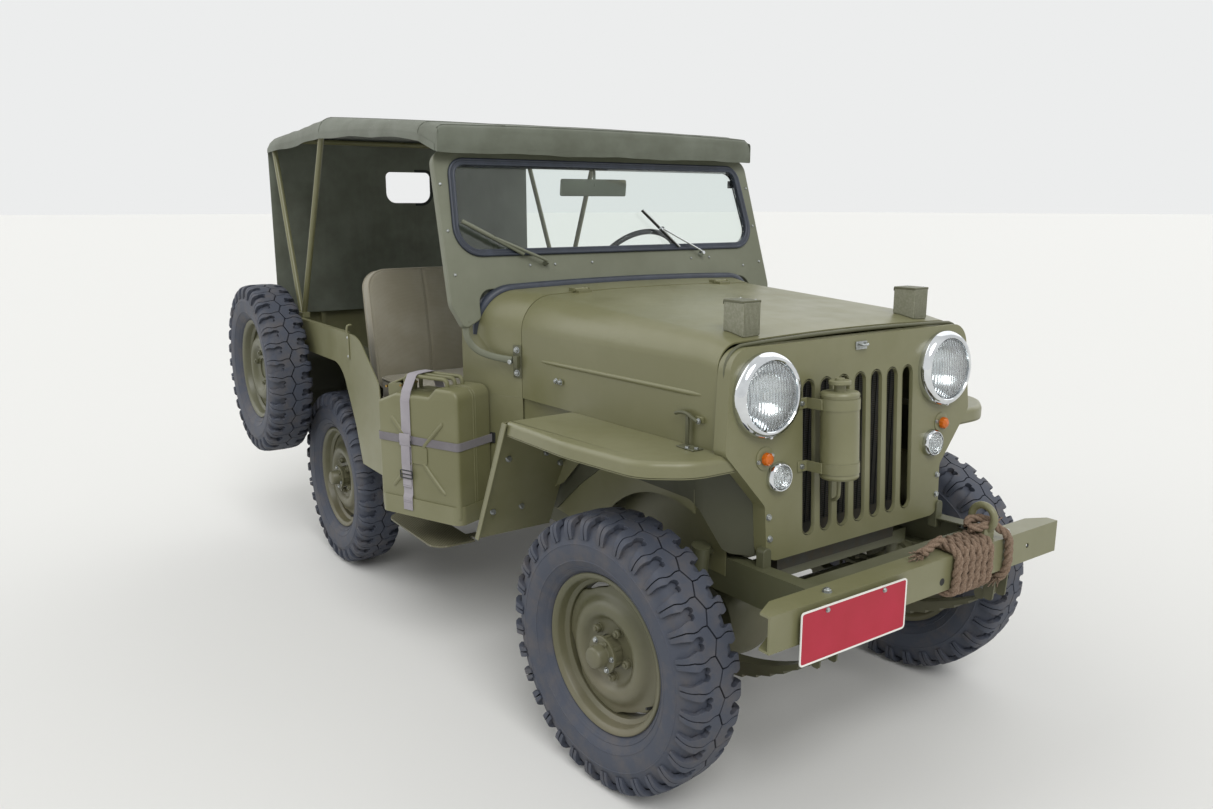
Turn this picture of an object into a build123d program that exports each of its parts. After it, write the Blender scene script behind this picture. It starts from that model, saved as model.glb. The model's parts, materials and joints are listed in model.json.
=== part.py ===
from build123d import *
import os
from math import atan2, cos, degrees, pi, radians, sin, sqrt, tan

# Light open four-wheel-drive car. Millimetres.
# X points forward from the front axle, Y to the driver's side, Z up from the ground.
# The parts are written with the origin under the middle of the whole car.

# Running gear
wheelbase = 2032
track = 1230
tyre_radius = 377
tyre_width = 178
rim_radius = 206
rim_lip_radius = 221
rim_half_width = 57
sheet = 4
running_gap = 0.1
fit_gap = 0.3
steer_rest = 6
kingpin_offset = 55
ball_radius = 54
knuckle_wall = 12
spindle_radius = 20
drum_radius = 127
drum_wall = 9
hub_radius = 44
hub_reach = 95
arm_length = 135
rod_radius = 12
axle_tube_radius = 36
axle_offset = 200
housing_radius = 125
pinion_reach = 75

# Springs and frame
spring_spacing = 700
spring_width = 44
leaf_thickness = 7
leaf_count = 8
front_spring_span = 920
rear_spring_span = 1060
front_spring_rise = 140
rear_spring_rise = 120
eye_radius = 17
rail_outer = 385
rail_width = 45
rail_depth = 100
rail_front_depth = 80
floor_height = 600
sill_height = 550

# Bumper and plate
bumper_front = 528
bumper_half_length = 576
bumper_top = 652
bumper_height = 92
bumper_wall = 6
bumper_flange = 65
bumper_hole_radius = 7
bumper_hole_spacing = 860
plate_width = 372
plate_height = 134
plate_centre_y = -305
rope_radius = 13

# Grille and lamps
grille_foot_x = 282
grille_foot_z = 700
grille_lean = 3.1
grille_depth = 45
slot_count = 7
slot_pitch = 66
slot_width = 40
slot_low = 697
slot_high = 1107
lamp_spacing = 706
lamp_height = 1085
lamp_radius = 109
bucket_radius = 98
surge_radius = 50
surge_height = 225

# Body
body_half_width = 725
body_rear = -wheelbase - 711
floor_sheet = 6
rail_top = 1058
door_front_x = -873
door_rear_x = -1351
door_sill = 740
cowl_x = -650
cowl_half_width = 525
taper_end_x = -1115
ledge_height = 945
cowl_top_x = -828
cowl_height = 1278
cowl_rear_height = 1288
cowl_shoulder = 114
cowl_rear_shoulder = 120
hood_front_x = 266
hood_break_x = 140
hood_clear = 3
fender_lip = 55
fender_inner = 470
skirt_outer = 738
arch_half = 454

# Windscreen and top
screen_top = 1723
screen_x = -950
screen_lean = 17.2
screen_half_top = 673
screen_half_low = 690
screen_thickness = 28
glass_thickness = 6
seal_width = 20
bow_radius = 12
canvas_thickness = 6
canvas_half_width = body_half_width - 31

# Steering wheel
steering_wheel_radius = 218
grip_radius = 11
column_y = 345
column_radius = 20

# Spare wheel and can
spare_x = -wheelbase - 396
spare_y = -body_half_width - 109
spare_z = 825
can_length = 345
can_depth = 165
can_height = 470
can_low = 540
can_middle_x = -925
step_reach = body_half_width + 60

plate_front = bumper_front + 16
rope_front = bumper_front + fit_gap + 2 * rope_radius
pintle_rear = body_rear - 115
origin_x = (rope_front + pintle_rear) / 2
origin_y = (step_reach + spare_y - tyre_width / 2) / 2


def block(x, y, z):
    """A box between pairs of limits."""
    sizes = [abs(b - a) for a, b in (x, y, z)]
    middles = [(a + b) / 2 for a, b in (x, y, z)]
    return Pos(*middles) * Box(*sizes)


def outline(corners, place):
    """A face from corners (a, b, radius), each rounded by its own radius."""
    count = len(corners)
    cuts = []
    for i, (a, b, radius) in enumerate(corners):
        before = corners[i - 1]
        after = corners[(i + 1) % count]
        here = Vector(a, b, 0)
        back = (Vector(before[0], before[1], 0) - here).normalized()
        ahead = (Vector(after[0], after[1], 0) - here).normalized()
        if radius <= 0:
            cuts.append((here, None, here))
            continue
        half = radians(back.get_angle(ahead)) / 2
        reach = radius / tan(half)
        middle = here + (back + ahead).normalized() * (radius / sin(half) - radius)
        cuts.append((here + back * reach, middle, here + ahead * reach))
    edges = []
    for i, (start, middle, end) in enumerate(cuts):
        if middle is not None:
            arc = [Vector(*place(p.X, p.Y)) for p in (start, middle, end)]
            edges.append(Edge.make_three_point_arc(*arc))
        following = cuts[(i + 1) % count][0]
        if (following - end).length > 1e-6:
            edges.append(Edge.make_line(Vector(*place(end.X, end.Y)),
                                        Vector(*place(following.X, following.Y))))
    return Face(Wire(edges))


def slab_y(corners, low, high):
    """Outline in X and Z, between two Y limits."""
    return Solid.extrude(outline(corners, lambda a, b: (a, low, b)), Vector(0, high - low, 0))


def slab_z(corners, low, high):
    """Outline in X and Y, between two heights."""
    return Solid.extrude(outline(corners, lambda a, b: (a, b, low)), Vector(0, 0, high - low))


def slab_x(corners, low, high):
    """Outline in Y and Z, between two X limits."""
    return Solid.extrude(outline(corners, lambda a, b: (low, a, b)), Vector(high - low, 0, 0))


def rod(start, end, radius):
    """A round bar between two points."""
    line = Vector(*end) - Vector(*start)
    return Solid.make_cylinder(radius, line.length, Plane(origin=start, z_dir=line))


def bent_bar(points, radius, bend):
    """A round bar along straight runs joined by arcs of one radius."""
    path = FilletPolyline(*points, radius=bend)
    start = Plane(origin=points[0], z_dir=Vector(*points[1]) - Vector(*points[0]))
    return sweep(start * Circle(radius), path=path)


def turned(corners):
    """A profile of (along Y, radius) corners turned about the Y axis."""
    return Solid.revolve(outline(corners, lambda a, b: (0, a, b)), 360, Axis.Y)


def turned_x(corners):
    """A profile of (along X, radius) corners turned about the X axis."""
    return Solid.revolve(outline(corners, lambda a, b: (a, 0, b)), 360, Axis.X)


def flipped(shape):
    """The same piece on the other side of the car."""
    return mirror(shape, about=Plane.XZ)


def both(shape):
    return [shape, flipped(shape)]


def fused(*shapes):
    result = shapes[0]
    for shape in shapes[1:]:
        result = result + shape
    return result


# Wheels and tyres

lug_count = 32
bead_half_width = rim_half_width - sheet - fit_gap
bore_radius = (rim_radius + fit_gap) / cos(pi / lug_count)

# Rings of corners from bead to crown: half width, radius, corners, and how far every second corner sinks
# inwards and towards the hub, which leaves the lugs standing along the shoulder
tyre_rings = [(bead_half_width, bore_radius, lug_count, 0, 0),
              (bead_half_width, rim_lip_radius + 3, lug_count, 0, 0),
              (80, 256, lug_count, 0, 0), (tyre_width / 2, 303, 2 * lug_count, 0, 0),
              (tyre_width / 2, 347, 2 * lug_count, 10, 5), (62, tyre_radius, 2 * lug_count, 0, 7)]


def tyre_ring(side, half, radius, corners, sink_in, sink_down):
    """Corners of one ring; the lugs of the two sides stand half a pitch apart."""
    places = []
    for i in range(corners):
        sunk = (i + (side < 0)) % 2
        angle = 2 * pi * i / corners
        reach = radius - sunk * sink_down
        places.append(Vector(reach * sin(angle), side * (half - sunk * sink_in), reach * cos(angle)))
    return places


def ring_band(inner, outer):
    """Triangles between two rings, the outer with as many corners as the inner or twice as many."""
    faces = []
    step = len(outer) // len(inner)
    for i, corner in enumerate(inner):
        fan = [outer[(i * step + k) % len(outer)] for k in range(step + 1)]
        for before, after in zip(fan, fan[1:]):
            faces.append(Face(Wire.make_polygon([corner, before, after])))
        faces.append(Face(Wire.make_polygon([corner, fan[-1], inner[(i + 1) % len(inner)]])))
    return faces


def tyre():
    """Flat-sided tyre with its lugs, so that all five stay light."""
    halves = [[tyre_ring(side, *row) for row in tyre_rings] for side in (1, -1)]
    faces = []
    for rings in halves:
        for inner, outer in zip(rings, rings[1:]):
            faces += ring_band(inner, outer)
    faces += ring_band(halves[0][-1], halves[1][-1])
    faces += ring_band(halves[0][0], halves[1][0])
    return Solid(Shell(faces))


tyre_shape = tyre()


def rim():
    width = rim_half_width
    seat = rim_radius
    well = rim_radius - 16
    corners = [(-width, rim_lip_radius, 0), (-width + 4, rim_lip_radius, 0), (-width + 4, seat, 0),
               (-25, seat, 0), (-18, well, 0), (18, well, 0), (25, seat, 0), (width - 4, seat, 0),
               (width - 4, rim_lip_radius, 0), (width, rim_lip_radius, 0), (width, seat - 2, 0),
               (width - 8, seat - 6, 0), (28, seat - 6, 0), (21, well - 6, 0), (-21, well - 6, 0),
               (-28, seat - 6, 0), (-width + 8, seat - 6, 0), (-width, seat - 2, 0)]
    return turned(corners)


disc_face = 24
disc_bore = 46


def disc():
    well = rim_radius - 21
    corners = [(6, well, 0), (13, well - 1, 0), (17, 152, 8), (42, 132, 10), (44, 104, 10),
               (disc_face, 88, 6), (disc_face, disc_bore, 0), (disc_face - 6, disc_bore, 0),
               (disc_face - 6, 91, 6), (37, 107, 8), (35, 128, 8), (11, 147, 8)]
    return turned(corners)


def road_hub():
    """Brake drum, hub and cap that turn with a road wheel."""
    web = disc_face - 11
    drum = turned([(web - 35, drum_radius, 0), (disc_face - 6, drum_radius, 0),
                   (disc_face - 6, spindle_radius + 4, 0), (web, spindle_radius + 4, 0),
                   (web, drum_radius - drum_wall, 0), (web - 35, drum_radius - drum_wall, 0)])
    bore = spindle_radius + running_gap
    barrel = turned([(web, hub_radius, 0), (disc_face + 34, hub_radius, 0), (disc_face + 38, 36, 0),
                     (hub_reach - 4, 36, 0), (hub_reach, 31, 0), (hub_reach, 0, 0), (72, 0, 0),
                     (72, bore, 0), (web, bore, 0)])
    nuts = [Pos(0, disc_face, 0) * Rot(0, 72 * i, 0) * rod((0, -2, 70), (0, 16, 70), 10) for i in range(5)]
    return fused(drum, barrel, *nuts)


def outward(shape, side):
    """Wheel pieces are drawn with their outer face towards +Y."""
    return shape if side > 0 else flipped(shape)


def wheel_place(x, side):
    return Pos(x, side * track / 2, tyre_radius)


def steered(shape, side):
    """Turns a piece of one front corner about its kingpin to the parked angle."""
    kingpin_y = side * (track / 2 - kingpin_offset)
    return Pos(0, kingpin_y, 0) * Rot(0, 0, steer_rest) * Pos(0, -kingpin_y, 0) * shape


def road_wheel():
    return fused(rim(), disc(), road_hub())


def spare_disc():
    return fused(rim(), disc())


def knuckle(side):
    """Ball housing, backing plate, spindle and steering arm, drawn for +Y with the kingpin at y 0."""
    inner = ball_radius + fit_gap
    outer = ball_radius + knuckle_wall
    shell = Sphere(outer) - Sphere(inner)
    keep = block((-90, 90), (-18, 90), (-90, 90))
    shell = shell & keep
    back_low = kingpin_offset - 32
    plate = turned([(back_low, drum_radius - 6, 0), (back_low + 5, drum_radius - 6, 0),
                    (back_low + 5, outer - 6, 0), (back_low, outer - 6, 0)])
    spindle = rod((0, outer - 3, 0), (0, kingpin_offset + 70, 0), spindle_radius)
    caps = [rod((0, 0, sign * (outer - 4)), (0, 0, sign * (outer + 12)), 24) for sign in (1, -1)]
    arm = slab_z([(14, -20, 6), (14, 20, 6), (-arm_length, 16, 15), (-arm_length - 16, 0, 10),
                  (-arm_length, -16, 15)], outer, outer + 14)
    stud = rod((-arm_length, 0, outer + 10), (-arm_length, 0, outer + 42), 8)
    piece = fused(shell, plate, spindle, *caps, arm, stud)
    if side < 0:
        piece = flipped(piece)
    return Pos(0, side * (track / 2 - kingpin_offset), tyre_radius) * piece


arm_top = tyre_radius + ball_radius + knuckle_wall + 14


def arm_end(side):
    """Where the stud of one steering arm stands at the parked angle."""
    kingpin_y = side * (track / 2 - kingpin_offset)
    return (-arm_length * cos(radians(steer_rest)), kingpin_y - arm_length * sin(radians(steer_rest)))


def tie_rod():
    left = arm_end(1)
    right = arm_end(-1)
    low = arm_top + 1
    middle = low + 12
    eyes = []
    for (x, y), bore in ((left, 8 + running_gap), (right, 10)):
        eyes.append((rod((x, y, low), (x, y, low + 24), 17), rod((x, y, low - 1), (x, y, low + 25), bore)))
    bar = rod((left[0], left[1] - 13, middle), (right[0], right[1] + 13, middle), rod_radius)
    piece = fused(bar, eyes[0][0], eyes[1][0])
    return piece - eyes[0][1] - eyes[1][1]


# Axles, springs and frame

def axle_housing(x, tail):
    """Differential housing, offset to the passenger side; the pinion nose points along tail."""
    ball = Pos(x, -axle_offset, tyre_radius) * Sphere(housing_radius)
    flat = block((x - 200, x + 200), (-axle_offset - 85, -axle_offset + 85), (0, 900))
    nose_end = x + tail * (housing_radius + pinion_reach)
    nose = rod((x, -axle_offset, tyre_radius), (nose_end, -axle_offset, tyre_radius), 48)
    return fused(ball & flat, nose)


def front_axle():
    reach = track / 2 - kingpin_offset
    tube = rod((0, -reach, tyre_radius), (0, reach, tyre_radius), axle_tube_radius - 2)
    balls = [Pos(0, s * reach, tyre_radius) * Sphere(ball_radius) for s in (1, -1)]
    return fused(tube, *balls, axle_housing(0, -1))


def rear_axle():
    reach = track / 2
    ends = []
    for side in (1, -1):
        inner = side * (reach - 32)
        ends.append(rod((-wheelbase, inner, tyre_radius), (-wheelbase, inner + side * 5, tyre_radius),
                        drum_radius - 6))
        ends.append(rod((-wheelbase, inner, tyre_radius), (-wheelbase, side * (reach + 70), tyre_radius),
                        spindle_radius))
    tube = rod((-wheelbase, -reach + 32, tyre_radius), (-wheelbase, reach - 32, tyre_radius),
               axle_tube_radius)
    return fused(tube, *ends, axle_housing(-wheelbase, 1))


spring_seat = tyre_radius - axle_tube_radius - 6


def spring(centre_x, span, rise):
    """Stack of curved leaves under the axle, with an eye at each end."""
    half = span / 2
    radius = (half ** 2 + rise ** 2) / (2 * rise)
    centre_z = spring_seat + radius
    low_y = (spring_spacing - spring_width) / 2
    leaves = []
    for i in range(leaf_count):
        inner = radius + i * leaf_thickness
        outer = inner + leaf_thickness
        angle = radians(degrees(half / radius) * (1 - 0.115 * i))
        points = []
        for r, turns in ((inner, (-1, 0, 1)), (outer, (1, 0, -1))):
            points.append([(centre_x + r * sin(t * angle), centre_z - r * cos(t * angle)) for t in turns])
        arcs = [Edge.make_three_point_arc(*[Vector(a, low_y, b) for a, b in row]) for row in points]
        ends = [Edge.make_line(arcs[0] @ 1, arcs[1] @ 0), Edge.make_line(arcs[1] @ 1, arcs[0] @ 0)]
        leaves.append(Solid.extrude(Face(Wire([*arcs, *ends])), Vector(0, spring_width, 0)))
    angle = half / radius
    eyes = []
    for side in (-1, 1):
        x = centre_x + side * (radius - eye_radius / 2) * sin(angle)
        z = centre_z - (radius - eye_radius / 2) * cos(angle)
        eyes.append(rod((x, low_y - 8, z), (x, low_y + spring_width + 8, z), eye_radius))
    return fused(*leaves, *eyes)


def spring_clamp(x):
    """Plate under the leaves, four bolts and two bars over the axle tube."""
    low_y = (spring_spacing - spring_width) / 2
    high_y = low_y + spring_width
    leaf_low = spring_seat - leaf_count * leaf_thickness
    plate = block((x - 62, x + 62), (low_y - 16, high_y + 16), (leaf_low - 8, leaf_low))
    bolts = []
    for dx in (-44, 44):
        for y in (low_y - 8, high_y + 8):
            bolts.append(rod((x + dx, y, leaf_low - 18), (x + dx, y, tyre_radius + axle_tube_radius + 4), 6))
    bars = []
    tube_top = tyre_radius + axle_tube_radius
    for y in (low_y - 8, high_y + 8):
        bars.append(block((x - 54, x + 54), (y - 10, y + 10), (tube_top, tube_top + 10)))
    return fused(plate, *bolts, *bars)


front_eye_height = spring_seat + front_spring_rise
rear_eye_height = spring_seat + rear_spring_rise

# Frame rail stations: x, top of rail, depth
rail_stations = [(bumper_front - bumper_wall, bumper_top - bumper_wall, rail_front_depth),
                 (430, 646, rail_front_depth), (300, 640, rail_depth), (-200, 626, rail_depth),
                 (-450, 598, rail_depth), (-1500, 588, rail_depth), (-wheelbase + 252, 594, rail_depth),
                 (-wheelbase - 268, 594, rail_depth), (-wheelbase - 468, 580, rail_depth),
                 (body_rear + 55, 580, rail_depth)]


def rail_level(x):
    """Top and bottom of the rail at one place along the car."""
    for (x0, top0, depth0), (x1, top1, depth1) in zip(rail_stations, rail_stations[1:]):
        if x1 <= x <= x0:
            share = (x0 - x) / (x0 - x1)
            top = top0 + share * (top1 - top0)
            return top, top - depth0 - share * (depth1 - depth0)
    return rail_stations[-1][1], rail_stations[-1][1] - rail_depth


def frame_rail():
    def corners(inset):
        top = [(x, z - inset, 0) for x, z, depth in rail_stations]
        low = [(x, z - depth + inset, 0) for x, z, depth in reversed(rail_stations)]
        return top + low
    inner = rail_outer - rail_width
    solid = slab_y(corners(0), inner, rail_outer)
    hollow = slab_y(corners(sheet), inner - 1, rail_outer - sheet)
    trim = block((rail_stations[-1][0] + sheet, rail_stations[0][0] - sheet), (0, 400), (0, 900))
    return solid - (hollow & trim)


# Cross members: x, width along the car, height
cross_table = [(395, 50, 60), (150, 70, 40), (-1230, 90, 60), (-wheelbase + 272, 60, 60),
               (-wheelbase - 298, 60, 60), (body_rear + 75, 40, 100)]


def cross_members():
    reach = rail_outer - rail_width
    members = []
    for x, width, height in cross_table:
        bottom = rail_level(x)[1]
        members.append(block((x - width / 2, x + width / 2), (-reach, reach),
                             (bottom + sheet, bottom + sheet + height)))
    return members


# Body mount blocks on top of the rails: x
mount_table = [-760, -1150, -1500, -wheelbase + 182, -wheelbase - 218, body_rear + 103]


def body_mounts():
    pieces = []
    for x in mount_table:
        top = max(rail_level(x - 25)[0], rail_level(x + 25)[0])
        for side in (1, -1):
            low, high = sorted((side * (rail_outer - 40), side * (rail_outer - 2)))
            pieces.append(block((x - 25, x + 25), (low, high), (top, floor_height)))
    return pieces


def spring_hanger(x, height):
    """Cheeks and cap that hold one spring eye under the rail or the bumper."""
    low_y = (spring_spacing - spring_width) / 2 - 5
    high_y = low_y + spring_width + 10
    ceiling = min(rail_level(x - 20)[1], rail_level(x + 20)[1]) - fit_gap
    if x > bumper_front - bumper_flange:
        ceiling = bumper_top - bumper_height
    pieces = [block((x - 20, x + 20), (low_y - 5, high_y + 5), (ceiling - 5, ceiling))]
    for y in (low_y - 5, high_y):
        pieces.append(slab_y([(x - 14, height - 18, 10), (x + 14, height - 18, 10), (x + 20, ceiling - 3, 0),
                              (x - 20, ceiling - 3, 0)], y, y + 5))
    return pieces


# Springs: middle of the leaves, span, rise, eye height, axle
spring_table = [(30, front_spring_span, front_spring_rise, front_eye_height, 0),
                (-wheelbase, rear_spring_span, rear_spring_rise, rear_eye_height, -wheelbase)]


def spring_set():
    pieces = []
    for centre, span, rise, height, axle_x in spring_table:
        hangers = spring_hanger(centre + span / 2, height) + spring_hanger(centre - span / 2, height)
        pieces.append(fused(spring(centre, span, rise), spring_clamp(axle_x), *hangers))
    return pieces


def axle_pads(centre, span, rise, axle_x):
    """Seats between the leaves and the axle tube."""
    low_y = (spring_spacing - spring_width) / 2
    pad = block((axle_x - 36, axle_x + 36), (low_y, low_y + spring_width),
                (spring_seat - 2, tyre_radius - 12))
    return both(pad - spring(centre, span, rise))


# Dampers: axle, lean, height of the upper eye
shock_table = [(0, 50, 662), (-wheelbase, 50, 584)]


def shock(x, lean, top):
    """Telescopic damper outside the rail, from the spring plate to a stud on the rail."""
    y = rail_outer + 38
    foot = (x + 64, y - 18, spring_seat - leaf_count * leaf_thickness + 9)
    waist = (x + 64 + 0.4 * lean, y - 8, foot[2] + 0.55 * (top - foot[2]))
    head = (x + 64 + lean, y, top)
    lower = rod(foot, waist, 19)
    upper = rod(waist, head, 26)
    stud = rod((head[0] - 2, rail_outer, top - 22), (head[0] - 2, y, top - 22), 10)
    lug = rod((foot[0] - 4, y - 40, foot[2]), (foot[0] - 4, y - 10, foot[2]), 9)
    return fused(lower, upper, stud, lug)


# Drive line

def engine_block():
    crankcase = block((-600, -60), (-190, 170), (540, 930))
    head = block((-560, -90), (-150, 90), (930, 1040))
    return fused(crankcase, head)


def gearbox():
    bell = turned_x([(-600, 0, 0), (-600, 175, 0), (-690, 170, 0), (-760, 95, 0), (-1000, 85, 0),
                     (-1000, 0, 0)])
    bell = Pos(0, 0, 620) * bell
    ceiling = floor_height - 6
    bell = bell & block((-1010, -600), (-200, 200), (445, ceiling))
    transfer = slab_x([(-260, 380, 60), (90, 430, 60), (90, ceiling, 50), (-260, 500, 60)], -1130, -1000)
    return fused(bell, transfer)


def prop_shafts():
    front_end = -housing_radius - pinion_reach
    rear_end = -wheelbase + housing_radius + pinion_reach
    y = -axle_offset
    front = rod((front_end + 10, y, tyre_radius), (-1010, y, 440), 24)
    rear = rod((-1120, y, 440), (rear_end - 10, y, tyre_radius), 24)
    return [front - axle_housing(0, -1) - gearbox(), rear - axle_housing(-wheelbase, 1) - gearbox()]


def exhaust():
    y = 265
    z = 392
    pipe_radius = 20
    bend = 40
    front_x = -1010
    rear_x = -wheelbase + 592
    tail_x = rear_x - 105
    down = bent_bar([(-520, 170, 600), (-520, y, 600), (-620, y, z), (front_x, y, z)], pipe_radius, bend)
    silencer = rod((front_x, y, z), (rear_x, y, z), 60)
    tail = bent_bar([(rear_x, y, z), (rear_x - 60, y, z), (tail_x, 460, z), (tail_x, 700, z)],
                    pipe_radius, bend)
    return fused(down, silencer, tail)


def radiator():
    core = block((150, 215), (-235, 235), (690, 1090))
    tank = slab_y([(140, 1090, 0), (225, 1090, 0), (225, 1150, 25), (140, 1150, 25)], -225, 225)
    x, width, height = cross_table[1]
    foot = block((150, 215), (-240, 240), (rail_level(x)[1] + sheet + height + fit_gap, 690))
    return fused(core, tank, foot)


def pintle_hook():
    x = body_rear + 55
    plate = block((x - 10, x), (-75, 75), (500, 580))
    shank = rod((x - 10, 0, 545), (x - 70, 0, 545), 22)
    profile = [(x - 60, 575, 12), (x - 60, 515, 12), (pintle_rear, 505, 25), (pintle_rear, 560, 10),
               (pintle_rear + 18, 560, 6), (pintle_rear + 22, 532, 8), (x - 85, 532, 8), (x - 85, 575, 8)]
    hook = slab_y(profile, -18, 18)
    return fused(plate, shank, hook)


# Front end

def front_bumper():
    low = bumper_top - bumper_height
    half = bumper_half_length
    web = block((bumper_front - bumper_wall, bumper_front), (-half, half), (low, bumper_top))
    cut = 60
    waist = bumper_front - bumper_flange * 0.5
    back = bumper_front - bumper_flange
    flange = [(bumper_front, -half, 0), (bumper_front, half, 0), (waist, half, 0),
              (back, half - cut, 0), (back, -half + cut, 0), (waist, -half, 0)]
    bar = fused(web, slab_z(flange, low, low + bumper_wall),
                slab_z(flange, bumper_top - bumper_wall, bumper_top))
    middle = bumper_top - bumper_height / 2
    for y in (-bumper_hole_spacing / 2, bumper_hole_spacing / 2):
        bar = bar - rod((bumper_front - 20, y, middle), (bumper_front + 5, y, middle), bumper_hole_radius)
    return bar


def number_plate():
    middle = bumper_top - bumper_height / 2 - 29
    corners = [(plate_centre_y + a * plate_width / 2, middle + b * plate_height / 2, 10)
               for a, b in ((-1, -1), (1, -1), (1, 1), (-1, 1))]
    plate = slab_x(corners, bumper_front + 12, plate_front)
    bosses = []
    for y in (plate_centre_y - 100, plate_centre_y + 100):
        bosses.append(rod((bumper_front, y, bumper_top - 20), (bumper_front + 13, y, bumper_top - 20), 9))
    return fused(plate, *bosses)


rope_turns = 6
rope_first_y = 62
rope_pitch = 28


def round_bumper(grow, radius):
    """Outline in X and Z, round the bumper at one distance."""
    low = bumper_top - bumper_height - grow
    high = bumper_top + grow
    back = bumper_front - bumper_flange - grow
    front = bumper_front + grow
    return [(back, low, radius), (front, low, radius), (front, high, radius), (back, high, radius)]


def rope_winding():
    """Turns of rope round the bumper, side by side."""
    turns = []
    outer = round_bumper(fit_gap + 2 * rope_radius, 2 * rope_radius)
    inner = round_bumper(fit_gap, 0)
    for i in range(rope_turns):
        y = rope_first_y + rope_pitch * i
        turns.append(slab_y(outer, y, y + rope_pitch) - slab_y(inner, y - 1, y + rope_pitch + 1))
    return fused(*turns)


def tow_ring():
    x = bumper_front - 35
    ring = Pos(x, 258, bumper_top + 62) * Rot(90, 0, 0) * Torus(34, 10)
    foot = block((x - 22, x + 22), (236, 280), (bumper_top, bumper_top + 36))
    return fused(foot, ring)


def leaned(shape):
    """Sets a piece drawn on an upright grille onto the leaning one."""
    return Pos(grille_foot_x, 0, grille_foot_z) * Rot(0, -grille_lean, 0) * shape


def grille_outline(inset):
    side = [(350 - inset, 650 + inset, 40), (354 - inset, 800, 25), (486 - inset, 952, 25),
            (462 - inset, 1208 - inset, 62)]
    corners = side + [(-a, b, r) for a, b, r in reversed(side)]
    return [(a, b - grille_foot_z, r) for a, b, r in corners]


def grille():
    hollow = slab_x(grille_outline(sheet), -grille_depth - 1, -sheet)
    shell = slab_x(grille_outline(0), -grille_depth, 0) - hollow
    half = slot_width / 2
    round_end = half * 0.98
    low = slot_low - grille_foot_z
    high = slot_high - grille_foot_z
    for i in range(slot_count):
        y = (i - (slot_count - 1) / 2) * slot_pitch
        slot = [(y - half, low, round_end), (y + half, low, round_end), (y + half, high, round_end),
                (y - half, high, round_end)]
        shell = shell - slab_x(slot, -sheet - 1, 1)
    for side in (1, -1):
        y = side * lamp_spacing / 2
        z = lamp_height - grille_foot_z
        shell = shell - rod((-20, y, z), (5, y, z), bucket_radius + fit_gap)
    return leaned(shell)


# Small front lamps: y, z, radius, reach
marker_table = [(355, 925, 22, 22), (310, 871, 41, 24)]


def front_lamps():
    lamp = turned_x([(-75, 0, 0), (-75, 50, 20), (-30, bucket_radius, 0), (0, bucket_radius, 0),
                     (0, lamp_radius, 0), (16, lamp_radius, 6), (24, lamp_radius - 18, 4),
                     (20, lamp_radius - 22, 0), (34, 20, 0), (34, 0, 0)])
    lamps = []
    for side in (1, -1):
        y = side * lamp_spacing / 2
        lamps.append(leaned(Pos(0, y, lamp_height - grille_foot_z) * lamp))
        for marker_y, z, radius, reach in marker_table:
            small = turned_x([(0, 0, 0), (0, radius, 0), (reach * 0.5, radius, 0),
                              (reach, radius * 0.55, 6), (reach, 0, 0)])
            lamps.append(leaned(Pos(0, side * marker_y, z - grille_foot_z) * small))
    return lamps


def surge_tank():
    """Coolant canister held to the grille by two brackets."""
    y = -155
    x = 66
    low = 855 - grille_foot_z
    high = low + surge_height
    neck = 26
    profile = [(0, low, 0), (surge_radius, low, 12), (surge_radius, high, 12), (neck, high, 0),
               (neck, high + 34, 6), (0, high + 34, 0)]
    face = outline(profile, lambda a, b: (a, 0, b))
    tank = Pos(x, y, 0) * Solid.revolve(face, 360, Axis.Z)
    arms = []
    for z in (1050 - grille_foot_z, 885 - grille_foot_z):
        stand = block((0, x), (-238, -222), (z - 14, z + 14))
        arms.append(stand + block((x - 8, x), (-238, y - 30), (z - 14, z + 14)))
    return leaned(fused(tank, *arms))


# Hinges of the hood and the tailgate: the hood's line as x and height, then pins, barrels and places across
hood_hinge = (cowl_x + hood_clear / 2, 1280)
hood_pin = 3
hood_barrel = 5.5
hood_barrel_half = 25
hinge_places = (-300, 300)

# Hood stations: x, half width, height at the middle, shoulder radius
hood_stations = [(hood_front_x, 462, 1212, 62), (hood_break_x, 470, 1236, 70),
                 (cowl_x + hood_clear, cowl_half_width, cowl_height - 2, cowl_shoulder)]
crown = 8


def arch_face(x, half, low, high, radius):
    """Section across the car: straight sides, round shoulders and a slightly crowned top."""
    side = high - crown
    bend = radius * (1 - sqrt(0.5))
    places = ((0, low), (0, side - radius), (bend, side - bend), (radius, side))
    foot, knee, elbow, shoulder = [[Vector(x, s * (half - a), b) for s in (-1, 1)] for a, b in places]
    edges = [Edge.make_line(foot[0], knee[0]),
             Edge.make_three_point_arc(knee[0], elbow[0], shoulder[0]),
             Edge.make_three_point_arc(shoulder[0], Vector(x, 0, high), shoulder[1]),
             Edge.make_three_point_arc(shoulder[1], elbow[1], knee[1]),
             Edge.make_line(knee[1], foot[1]),
             Edge.make_line(foot[1], foot[0])]
    return Face(Wire(edges))


def arch_shell(stations, low, wall):
    """Sheet bent over the car along a few stations."""
    outer = loft([arch_face(x, half, low, high, radius) for x, half, high, radius in stations], ruled=True)
    grown = []
    for i, (x, half, high, radius) in enumerate(stations):
        dx = (1 if i == 0 else -1 if i == len(stations) - 1 else 0)
        grown.append((x + dx * 0.01, half - wall, high - wall, radius - wall))
    inner = loft([arch_face(x, half, low - 1, high, radius) for x, half, high, radius in grown], ruled=True)
    return outer - inner


def grille_space():
    """All that lies in front of the back edge of the grille, with the gap to the hood."""
    return leaned(block((-grille_depth - hood_clear, 200), (-700, 700), (-200, 700)))


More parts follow.
